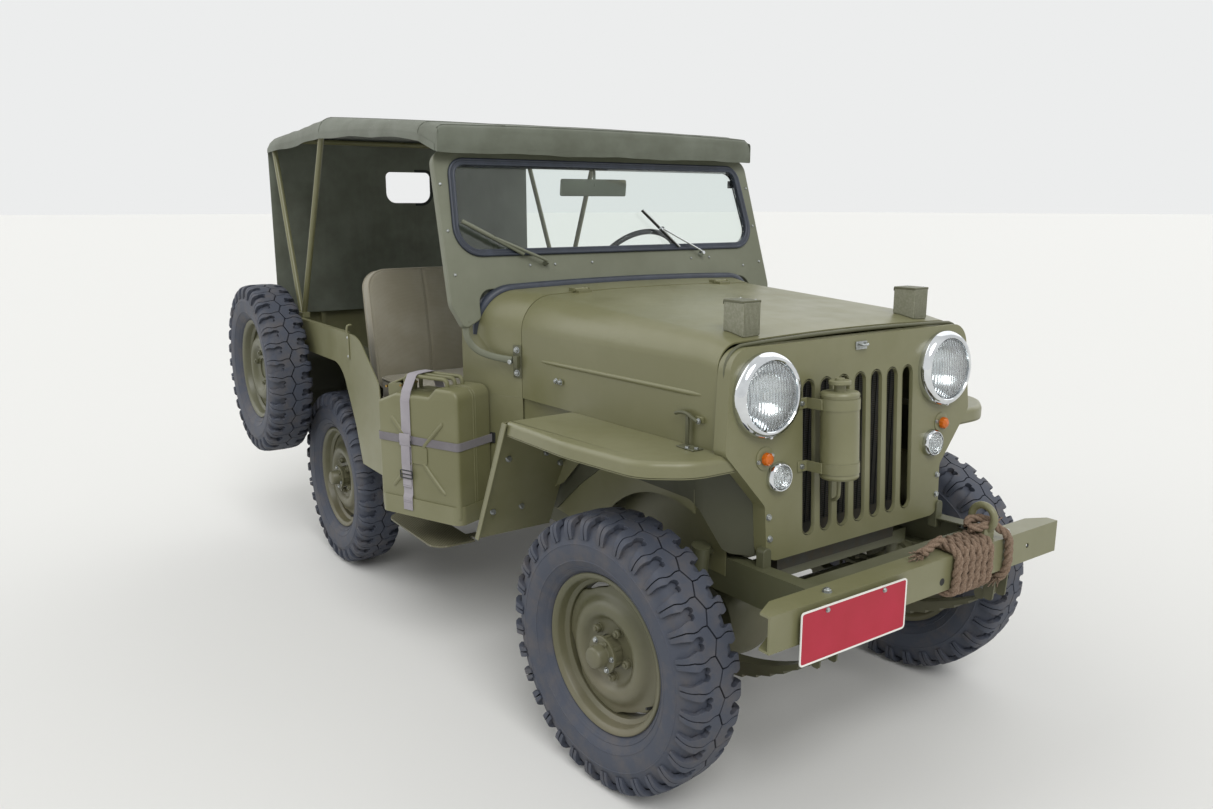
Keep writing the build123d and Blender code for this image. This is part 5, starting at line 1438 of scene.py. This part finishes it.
def windingPath():
    gap = ropeSpec["gap"] + ropeSpec["radius"]
    back, front = ropeSpec["back"] - gap, ropeSpec["front"] + gap
    low, high = ropeSpec["low"] - gap, ropeSpec["high"] + gap
    backBend, frontBend = ropeSpec["backBend"], ropeSpec["frontBend"]
    ring = roundedPath([(back, low, backBend), (front, low, frontBend), (front, high, frontBend),
                        (back, high, backBend)], 7)
    dense = []
    for place, after in zip(ring, ring[1:] + ring[:1]):
        pieces = max(1, round((after - place).length / .012))
        dense += [place.lerp(after, step / pieces) for step in range(pieces)]
    count = len(dense)
    points = []
    for number in range(count * ropeSpec["turns"] + 1):
        flat = dense[number % count]
        y = ropeSpec["first"] + ropeSpec["radius"] + ropeSpec["pitch"] * number / count
        loose = .001 * sin(number * 1.7) + .0009 * sin(number * .61)
        points.append(Vector((flat.x + loose * .4, y + loose, flat.y)))
    return points


def evenPoints(points, step):
    # the same route with a point every step
    lengths = [.0]
    for before, after in zip(points, points[1:]):
        lengths.append(lengths[-1] + (after - before).length)
    count = max(2, round(lengths[-1] / step))
    even, index = [], 0
    for number in range(count + 1):
        target = lengths[-1] * number / count
        while index < len(points) - 2 and lengths[index + 1] < target:
            index += 1
        share = (target - lengths[index]) / max(lengths[index + 1] - lengths[index], 1e-9)
        even.append(points[index].lerp(points[index + 1], min(share, 1)))
    return even


def smoothRoute(points):
    # points of a curve through the given ones
    route = tubePiece(points, 0, order=4, smoothness=10)
    places = [vertex.co.copy() for vertex in route.data.vertices]
    discard(route)
    return places


def laidRope(points, startTurn=.0, fray=.0):
    # three strands twisted round the route, each strand a tube
    points = evenPoints(points, ropeSpec["step"])
    side = Vector((0, 1, 0))
    strands = [[], [], []]
    for number, place in enumerate(points):
        along = (points[min(number + 1, len(points) - 1)] - points[max(number - 1, 0)]).normalized()
        side = (side - along * side.dot(along)).normalized()
        other = along.cross(side)
        left = len(points) - 1 - number
        spread = 1 + fray * max(0, 1 - left / 6)
        for strand in range(3):
            angle = startTurn + 2 * pi * (number * ropeSpec["step"] / ropeSpec["lay"] + strand / 3)
            spoke = side * cos(angle) + other * sin(angle)
            strands[strand].append(place + spoke * ropeSpec["strandPlace"] * spread)
    return joined([tubePiece(strand, ropeSpec["strand"], 2, kind="POLY") for strand in strands])


def frayedEnd(place, direction, count=14):
    # loose yarns at a cut end
    yarns = []
    direction = Vector(direction).normalized()
    side = direction.orthogonal().normalized()
    other = direction.cross(side)
    for number in range(count):
        angle = number * 2.4
        reach = .2 + .8 * (number % 5) / 4
        spoke = (side * cos(angle) + other * sin(angle)) * reach
        start = Vector(place) + spoke * .009
        end = start + direction * (.018 + .01 * (number % 3)) + spoke * .012
        yarns.append(tubePiece([start, start.lerp(end, .5) + side * .003, end], ropeSpec["yarn"], 1))
    return joined(yarns)


r = ropeSpec["radius"]
topZ, frontPlane = ropeSpec["high"] + r + .001, ropeSpec["front"] + r + .001
ropeEnds = [  # a route, its turn at the start and how far its end is frayed
    # start of the winding, lying along the top of the bumper
    ([(.5, .074, topZ + .024), (.49, .06, topZ + .02), (.488, .04, topZ + .006), (.492, .015, topZ),
      (.496, -.012, topZ)], .4, .5),
    # end: up through the ring, down in front, under the bumper
    ([(.47, .222, topZ + .024), (.462, .236, topZ + .04), (.47, .25, .706), (.494, .262, .712),
      (.51, .276, .7), (.516, .292, .684), (frontPlane - .004, .306, .672), (frontPlane, .314, .65),
      (frontPlane - .001, .318, .61), (frontPlane, .316, .572), (frontPlane - .01, .312, .545),
      (.52, .308, .54)], 1.0, .3),
    # tail tucked over the last turn
    ([(.486, .206, topZ + .026), (.505, .224, topZ + .027), (.512, .246, topZ + .03), (.5, .268, topZ + .036),
      (.488, .292, topZ + .026), (.484, .31, topZ + .014)], 2.0, .6),
]
ropes = [laidRope(windingPath())]
for route, startTurn, fray in ropeEnds:
    ropes.append(laidRope(smoothRoute(route), startTurn, fray))
ends = [frayedEnd((.496, -.012, topZ), (.1, -1, .1)), frayedEnd((.484, .31, topZ + .016), (-.1, 1, .2)),
        frayedEnd((.52, .308, .54), (-.6, -.1, -.8))]
finishPiece(joined(ropes), "sisalRope", "ropeFibre", stands=["rope_winding"], smooth=60)
finishPiece(joined(ends), "ropeYarns", "ropeFibre", smooth=60)
print("rope made")


# Sheet metal: packed panels with rounded edges, so they catch the light as pressed steel does
rolledEdges = {  # panel: (edge width, segments, finish)
    "grille": (.002, 2, "bodyEnamel"), "hood": (.0012, 2, "bodyEnamel"), "cowl_top": (.0012, 2, "bodyEnamel"),
    "cowl_sides": (.0012, 2, "bodyEnamel"), "side_panels": (.0014, 2, "bodyEnamel"),
    "rear_panels": (.0014, 2, "bodyEnamel"), "tailgate": (.002, 2, "bodyEnamel"),
    "front_bumper": (.004, 3, "bodyEnamel"), "can_tray": (.0018, 2, "bodyEnamel"),
    "top_bows": (.001, 1, "bodyEnamel"), "hood_blocks": (.004, 2, "restTimber"),
    # dashboard and seat frames take the darkened olive, painted shade inside the body
    "spare_carrier": (.003, 2, "frameEnamel"), "dashboard": (.0012, 2, "innerEnamel"),
    "seat_frames": (.004, 2, "innerEnamel"), "tow_fittings": (.0025, 2, "bodyEnamel"),
}
panelBody = {"hood": "hood", "tailgate": "tailgate", "hood_blocks": "hood"}


def packedCopy(name):
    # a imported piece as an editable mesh, back in the frame the sizes are drawn in
    twin = copied(frame["nodes"][name])
    twin.parent = None
    moved(twin, Matrix.Translation(-shift))
    editAll(twin)
    mergeClose(.00002)
    bpy.ops.mesh.dissolve_limited(angle_limit=radians(.4))
    leaveEdit()
    return twin


def slotCutters():
    # the slots are opened wider than the sheet's own holes, for their rolled edges to sink into
    wider, foot, cutters = .0034, frontSpec["foot"][2], []
    half = frontSpec["slotHalf"] + wider
    low, high = frontSpec["slotLow"] - foot - wider, frontSpec["slotHigh"] - foot + wider
    for y in slotPlaces:
        ring = roundedPath([(y - half, low, half), (y + half, low, half), (y + half, high, half),
                            (y - half, high, half)], 10)
        cutters.append(cutPlate([(.01, a, b) for a, b in ring], (-.02, 0, 0)))
    return moved(joined(cutters), *lean)


for name, (width, segments, finish) in rolledEdges.items():
    panel = packedCopy(name)
    if name == "grille":
        cutters = slotCutters()
        cutAway(panel, cutters)
        discard(cutters)
    roundEdges(panel, width, segments, 40)
    first, *rest = name.split("_")
    title = first + "".join(word.capitalize() for word in rest) + "Rolled"
    finishPiece(panel, title, finish, panelBody.get(name, "root"), stands=[name], smooth=30, level=True)
print("panels rolled")

# Front fenders: flat top rolled over at its edge into a deep lip, with the skirt behind the wheel
fenderSpec = {
    "top": .945, "lip": .041, "roll": .015, "inner": .4,
    "plan": [(-.395, .37, 0), (-.395, .729, .012), (-.08, .724, .6), (.175, .684, .12), (.26, .575, .15),
             (.265, .37, 0)],
}


def fenderOutline(grow):
    return grownPath(roundedPath(fenderSpec["plan"], 8), grow)


def sheetStack(rows, heights):
    # closed outlines one under the other, bridged into a skin and closed at the top
    rings = []
    for row, z in zip(rows, heights):
        rings.append(tracedLine([(p.x, p.y, z) for p in [*row, row[0]]]))
    skin = joined(rings)
    editAll(skin)
    mergeClose(.00001)
    bpy.ops.mesh.select_mode(type="EDGE")
    bpy.ops.mesh.select_all(action="SELECT")
    bpy.ops.mesh.bridge_edge_loops()
    leaveEdit()
    skin = joined([skin, tracedLine([(p.x, p.y, heights[0]) for p in rows[0]], closed=True)])
    editAll(skin)
    mergeClose(.00001)
    pointFacesOut()
    return skin


roll, high = fenderSpec["roll"], fenderSpec["top"]
low = high - fenderSpec["lip"]
levels = [(roll * (sin(radians(a)) - 1), high - roll * (1 - cos(radians(a)))) for a in range(0, 91, 15)]
levels += [(0, low + .002), (-.0012, low), (-.006, low)]
fender = sheetStack([fenderOutline(grow) for grow, z in levels], [z for grow, z in levels])
# the inner side is cut away where the fender meets the body
for place, normal in (((0, fenderSpec["inner"], 0), (0, -1, 0)), ((-.3955, 0, 0), (-1, 0, 0))):
    editAll(fender)
    bpy.ops.mesh.bisect(plane_co=place, plane_no=normal, clear_outer=True)
    leaveEdit()
useModifier(fender, "SOLIDIFY", thickness=.0022, offset=-1)
skirt = [(-.392, .47, .941), (-.585, .47, .535), (-.59, .47, .535), (-.397, .47, .941)]
skirt = cutPlate(skirt, (0, .268, 0), .0008, 1)
edge = [(-.37, .7335, .941), (-.392, .7335, .941), (-.585, .7335, .535), (-.567, .7335, .535)]
edge = cutPlate(edge, (0, .0045, 0), .0016, 2)
fender = joined([fender, skirt, edge])
bothSides(fender, "fenderSheet", "bodyEnamel", stands=["front_fenders"], smooth=28, level=True)
under = []
for x, y, z in ((-.452, .56, .815), (-.452, .69, .815), (-.54, .6, .63), (-.54, .7, .63), (-.47, .5, .77)):
    under.append(frontNut(.0085, .006, (0, 0, 0), turn(-25, "Y"), slide(x + .004, y, z)))
bothSides(joined(under), "skirtBolts", "zincPlate")
print("fenders made")


# Hood, cowl and windscreen fittings
archSpec = {  # x, half width, height in the middle, shoulder radius
    "hood": [(.266, .462, 1.212, .062), (.14, .47, 1.236, .07), (-.647, .525, 1.276, .114)],
    "cowl": [(-.65, .525, 1.278, .114), (-.842, .6076, 1.289, .121)],
}
screenSpec = {"x": -.95, "z": 1.723, "lean": 17.2, "thickness": .028}


def archPoint(kind, x, share, lift, low=.95):
    # share runs from -1 at the right foot over the middle to 1 at the left foot
    half, high, radius = stationAt(archSpec[kind], x)
    y, z = archedSection(abs(share), half + lift, high + lift - crownRise, radius + lift, low)
    return x, y if share > 0 else -y, z


def onScreen(y, z, proud=.0):
    # a point on the leaning front face of the windscreen
    lean = radians(screenSpec["lean"])
    depth = screenSpec["x"] + (screenSpec["z"] - z) * tan(lean)
    return Vector((depth + proud * cos(lean), y, z + proud * sin(lean)))


def screwHead(place, size=.005, tilt=None):
    head = spunPiece([(0, size), (size * .35, size * .96), (size * .75, size * .62), (size * .85, .0001)],
                     "X", 16)
    return moved(head, tilt or turn(-screenSpec["lean"], "Y"), slide(*place))


# rubber draught seal lying on the cowl behind the hood, thick and rounded
sealProfile = [(-.036, -.001), (-.034, .008), (-.022, .013), (-.008, .015), (.006, .014), (.014, .008),
               (.015, -.001)]


def sealPoint(u, v):
    share = (2 * u - 1) * .93
    along, up = sealProfile[min(6, round(v * 6))]
    x, y, z = archPoint("cowl", -.8, share, up, 1.085)
    fall = max(0, (abs(share) - .66) / .27)
    narrow = 1 - .7 * max(0, (abs(share) - .8) / .13)
    return (x + along * narrow - .02 * fall, y, z)


seal = clothGrid(6, 120, sealPoint)
useModifier(seal, "SOLIDIFY", thickness=.002, offset=0)
finishPiece(seal, "cowlSeal", "sealRubber", smooth=60)

# folded welt closing the joint between the hood and the grille
welt = []
for share in range(81):
    x, y, z = archPoint("hood", .226, share / 40 - 1, -.001, .96)
    welt.append((x + .019 - (z - .95) * .054, y, z))
finishPiece(tubePiece(welt, .0052, 3, kind="POLY"), "hoodWelt", "frameEnamel", smooth=60)

# pressed swage along each hood side
swage = []
for number in range(31):
    x = -.565 + .745 * number / 30
    sink = .006 * max(0, 1 - min(number, 30 - number) / 2.5)
    half = .47 + (.14 - x) * .0699 if x < .14 else .47 - (x - .14) * .0635
    swage.append((x, half - .0032 - sink, 1.0775 + .003 * number / 30))
bothSides(tubePiece(swage, .0075, 4), "hoodSwage", "bodyEnamel", "hood", smooth=60)

# hood latches: sprung T-handle on a strap, its foot screwed to the fender
atLatch = slide(.121, .4715, .9455)
grip = tubePiece([(-.046, .014, .0775), (-.028, .015, .0845), (0, .015, .0855), (.026, .014, .0745),
                  (.04, .013, .07)], .005, 3)
catch = boxPiece((.018, -.004, .0645), (.048, .004, .0805), .002)
strut = boxPiece((-.006, .0095, 0), (.006, .015, .0865), .0018)
foot = boxPiece((-.012, .004, 0), (.056, .04, .003), .001, 1)
bothSides(moved(catch, atLatch), "latchCatch", "bodyEnamel", "hood")
bothSides(moved(joined([grip, strut, foot]), atLatch), "latchHandle", "frameEnamel")
latchScrews = [moved(hexNut(.0062, .0045, False), turn(90, "X"), slide(x, y, .003), atLatch)
               for x, y in ((.028, .0355), (.049, .0225))]
latchScrews.append(moved(hexNut(.0066, .005, False), slide(.04, .01, .071), atLatch))
bothSides(joined(latchScrews), "latchScrews", "zincPlate")
stopPlate = boxPiece((-.47, .5105, 1.0215), (-.425, .515, 1.0345), .001, 1)
stopBolts = [moved(hexNut(.0075, .007), slide(x, .5145, 1.028)) for x in (-.46, -.436)]
bothSides(stopPlate, "hoodStopPlate", "bodyEnamel", "hood")
bothSides(joined(stopBolts), "hoodStopBolts", "zincPlate", "hood")

# hinge brackets of the folding windscreen, with the clamp pin through each arm
cowlTurn = turn(-23.27, "Z")
bracket = boxPiece((-.0165, .0005, -.052), (.0165, .004, .052), .002)
lug = boxPiece((-.004, .003, -.02), (.0135, .022, .02), .003)
hingeBolts = [moved(hexNut(.0088, .0075), slide(0, .004, z)) for z in (-.037, .037)]
pinEnds = spunPiece([(-.001, .0085), (.004, .008), (.0055, .006), (.0056, .0001)], "Y", 20)
moved(pinEnds, slide(-.013, .0235, 0))
place = slide(-.663, .5315, 1.0625)
bothSides(moved(joined([bracket, lug]), cowlTurn, place), "hingeBracket", "frameEnamel")
bothSides(moved(joined([*hingeBolts, pinEnds]), cowlTurn, place), "hingeBolts", "zincPlate")

# windscreen frame: plate with the glass opening cut through it, on two flat arms that swing on the cowl pins
def onScreenRing(side, grow, proud):
    corners = side + [(-a, b, r) for a, b, r in reversed(side)]
    return [onScreen(y, z, proud) for y, z in grownPath(roundedPath(corners, 8), grow)]


middleZ = 1.5
through = onScreen(0, middleZ, -screenSpec["thickness"]) - onScreen(0, middleZ)
frameSide = [(.586, 1.28, .122), (.592, 1.19, .02), (.655, 1.16, .02), (.69, 1.24, .06), (.673, 1.723, .048)]
holeSide = [(.648, 1.385, .088), (.622, 1.695, .058)]
screenPlate = cutPlate(onScreenRing(frameSide, 0, 0), through)
hole = cutPlate(onScreenRing(holeSide, 0, .01), through * 2)
cutAway(screenPlate, hole)
discard(hole)
roundEdges(screenPlate, .004, 3, 40)
armLine = [(-.793, .112, 1.185), (-.795, .121, 1.149), (-.789, .101, 1.115), (-.772, .08, 1.09),
           (-.737, .058, 1.076), (-.695, .041, 1.069), (-.666, .036, 1.068)]
# the arms keep beside the cowl's tapered side
besideCowl = Matrix(((1, 0, 0, 0), (-.4301, .5, 0, .2454), (0, 0, 1, 0), (0, 0, 0, 1)))
arms = moved(tubePiece(armLine, .0115, 4), besideCowl)
arms = joined([arms, mirroredCopy(arms)])
finishPiece(joined([screenPlate, arms]), "windscreenFrame", "screenEnamel", stands=["windscreen_frame"],
            smooth=30, level=True)

# glazing rubber: two beads with a filler strip, standing proud of the frame
glazing = {"half": (.648, .622), "height": (1.385, 1.695), "radius": (.088, .058)}


def glazingRing(inset, proud, radius):
    (low, high), (wide, narrow) = glazing["height"], glazing["half"]
    first, last = [max(r - inset, .01) for r in glazing["radius"]]
    corners = [(wide - inset, low + inset, first), (narrow - inset, high - inset, last),
               (-narrow + inset, high - inset, last), (-wide + inset, low + inset, first)]
    ring = [onScreen(y, z, proud) for y, z in roundedPath(corners, 8)]
    return tubePiece(ring, radius, 3, closed=True, kind="POLY")


beads = [glazingRing(.003, .003, .0058), glazingRing(.0165, .002, .005), glazingRing(.01, .0005, .0042)]
finishPiece(joined(beads), "glazingBeads", "sealRubber", smooth=60)

# screws and studs of the windscreen frame
lowScrews = [(-.495, 1.2723), (-.45, 1.2733), (-.131, 1.3532), (-.381, 1.3515), (-.283, 1.3514),
             (.318, 1.3533), (.407, 1.3544), (.48, 1.277), (.522, 1.2791), (.5735, 1.3189)]
heads = [screwHead(onScreen(y, z, -.0005)) for y, z in lowScrews]
heads += [screwHead(onScreen(side * .66, z, -.0005), .0055) for side in (1, -1) for z in (1.613, 1.467, 1.33)]
finishPiece(joined(heads), "screenScrews", "zincPlate")

# wipers: sprung arm from a pivot nut to a long blade with a rubber lip
wiperSpec = {  # pivot, blade start, blade end on the screen; arm and blade thickness, metal
    "Right": ((-.322, 1.356), (-.405, 1.385), (-.612, 1.494), .005, .0068, "screenEnamel"),
    "Left": ((.365, 1.367), (.262, 1.393), (.122, 1.527), .0032, .0034, "chromePlate"),
}
for side, (pivot, start, end, armRadius, bladeRadius, finish) in wiperSpec.items():
    middle = [(a + b) / 2 for a, b in zip(start, end)]
    elbow = [(2 * a + b) / 3 for a, b in zip(pivot, middle)]
    arm = tubePiece([onScreen(*pivot, .016), onScreen(*pivot, .026), onScreen(*elbow, .024),
                     onScreen(*middle, .017)], armRadius, 3)
    rail = tubePiece([onScreen(*start, .0135), onScreen(*middle, .015), onScreen(*end, .013)], bladeRadius, 3)
    knuckle = spunPiece([(-.002, .0095), (.014, .009), (.018, .007), (.024, .0062), (.0245, .0001)], "X", 20)
    knuckle = moved(knuckle, turn(-screenSpec["lean"], "Y"), slide(*onScreen(*pivot, 0)))
    clip = moved(spunPiece([(-.007, .0072), (.007, .0072)], "X", 12), slide(*onScreen(*middle, .014)))
    rubber = tubePiece([onScreen(*start, .0045), onScreen(*end, .0045)], .0042, 2)
    finishPiece(joined([arm, rail, knuckle, clip]), "wiperArm" + side, finish, stands=["wiper_arms"],
                smooth=50)
    finishPiece(rubber, "wiperRubber" + side, "blackSatin", slotName="black_rubber")

# inside mirror on its stalk, and a small card holder at the top corner
mirrorShell = boxPiece((-.004, -.133, -.03), (.008, .133, .03), .006, 3)
mirrorFace = boxPiece((-.0055, -.127, -.025), (-.0035, .127, .025), .001, 1)
mirrorMoves = [turn(8, "Y"), turn(-6, "Z"), slide(-.955, -.045, 1.608)]
stalk = tubePiece([(-.948, -.045, 1.612), (-.952, -.045, 1.655), (-.945, -.045, 1.7)], .005, 3)
finishPiece(joined([moved(mirrorShell, *mirrorMoves), stalk]), "mirrorShell", "screenEnamel")
finishPiece(moved(mirrorFace, *mirrorMoves), "mirrorFace", "mirrorGlass")
holder = boxPiece((-.952, .592, 1.612), (-.944, .62, 1.64), .002)
finishPiece(holder, "cardHolder", "blackSatin", slotName="black_plastic")

# metal caps along the tops of the hood rests, with their fixing nails, and darker strips as painted shade in
# the grooves of their faces
capParts, nails, grooveShades = [], [], []
for side in (1, -1):
    y = side * .335
    capParts.append(boxPiece((.112, y - .031, 1.306), (.188, y + .031, 1.3125), .0012, 1))
    capParts.append(boxPiece((.112, y - .031, 1.3), (.1135, y + .031, 1.308)))
    for x in (.122, .178):
        nails.append(screwHead((x, y + .02, 1.3122), .003, turn(-90, "Y")))
    # darker strips down each rest's face: painted shade in its grooves
    for number in range(13):
        groove = y - .026 + number * .0043
        grooveShades.append(boxPiece((.187, groove - .0005, 1.226), (.18835, groove + .0005, 1.3055)))
finishPiece(joined(capParts), "restCaps", "frameEnamel", "hood")
finishPiece(joined(nails), "restNails", "zincPlate", "hood")
finishPiece(joined(grooveShades), "restGrooveShade", "frameEnamel", "hood")
print("hood and windscreen fittings made")

# Inner panels: beside the hood foot, and over the wheels down to the sweep of the tyres
inwards, archRadius = (0, -.003, 0), .396
filler = cutPlate([(-.652, .518, .6), (-.652, .518, .943), (-.392, .46, .943), (-.392, .46, .8),
                   (-.48, .48, .7)], inwards)
sweep = [(archRadius * cos(radians(a)), wheelRadius + archRadius * sin(radians(a)))
         for a in range(73, 153, 6)]
wheelHouse = [(a, .449, b) for a, b in [(-.65, .59), (-.65, .82), (.112, .82), *sweep]]
wheelHouse = cutPlate(wheelHouse, inwards)
innerWall = boxPiece((-.6, .383, .585), (.17, .386, .8))
bothSides(joined([filler, wheelHouse, innerWall]), "apronPanels", "bodyEnamel")

# Bumper and frame ends: plated bolts, upright tabs, and black discs as painted shade in drilled holes
bolts = []
for side in (1, -1):
    bolts.append(moved(hexNut(.0105, .008), turn(90, "X"), slide(.5005, side * .363, .6515)))
    bolts.append(moved(hexNut(.0105, .01), turn(90, "X"), slide(.36, side * .37, .625)))
finishPiece(joined(bolts), "bumperBolts", "zincPlate")
tabs = []
for side in (1, -1):
    inner, outer = side * .338, side * .366
    corners = [(inner, .61, 0), (outer, .61, 0), (outer, .69, .012), (inner, .69, .012)]
    tabs.append(cutPlate([(.262, y, z) for y, z in roundedPath(corners, 4)], (.028, 0, 0), .0015, 1))
finishPiece(joined(tabs), "hornTabs", "frameEnamel")
holeShades = []
# flat black discs on the bumper face: painted shade standing for drilled holes
for y, z, size in ((-.1026, .6019, .0045), (.0443, .5883, .01), (.43, .606, .0045)):
    holeShades.append(moved(spunPiece([(.0001, size), (.0003, size), (.0003, .0001)], "X", 20), slide(.528, y, z)))
finishPiece(joined(holeShades), "bumperHoleShade", "blackSatin")

# side catches for the top: a strap with an eye below the rail
catchStrap = boxPiece((-1.676, .7255, .955), (-1.654, .729, 1.058), .0012, 1)
hookLine = [(.727, 1.052), (.731, 1.074), (.722, 1.092), (.71, 1.088)]
catchHook = tubePiece([(-1.665, y, z) for y, z in hookLine], .0045, 3)
bothSides(joined([catchStrap, catchHook]), "topCatch", "bodyEnamel")
rivets = [moved(spunPiece([(0, .0055), (.002, .0045), (.003, .0001)], "Y", 14), slide(-1.665, .7288, z))
          for z in (.966, 1.04)]
bothSides(joined(rivets), "catchRivets", "zincPlate")
print("body fittings made")
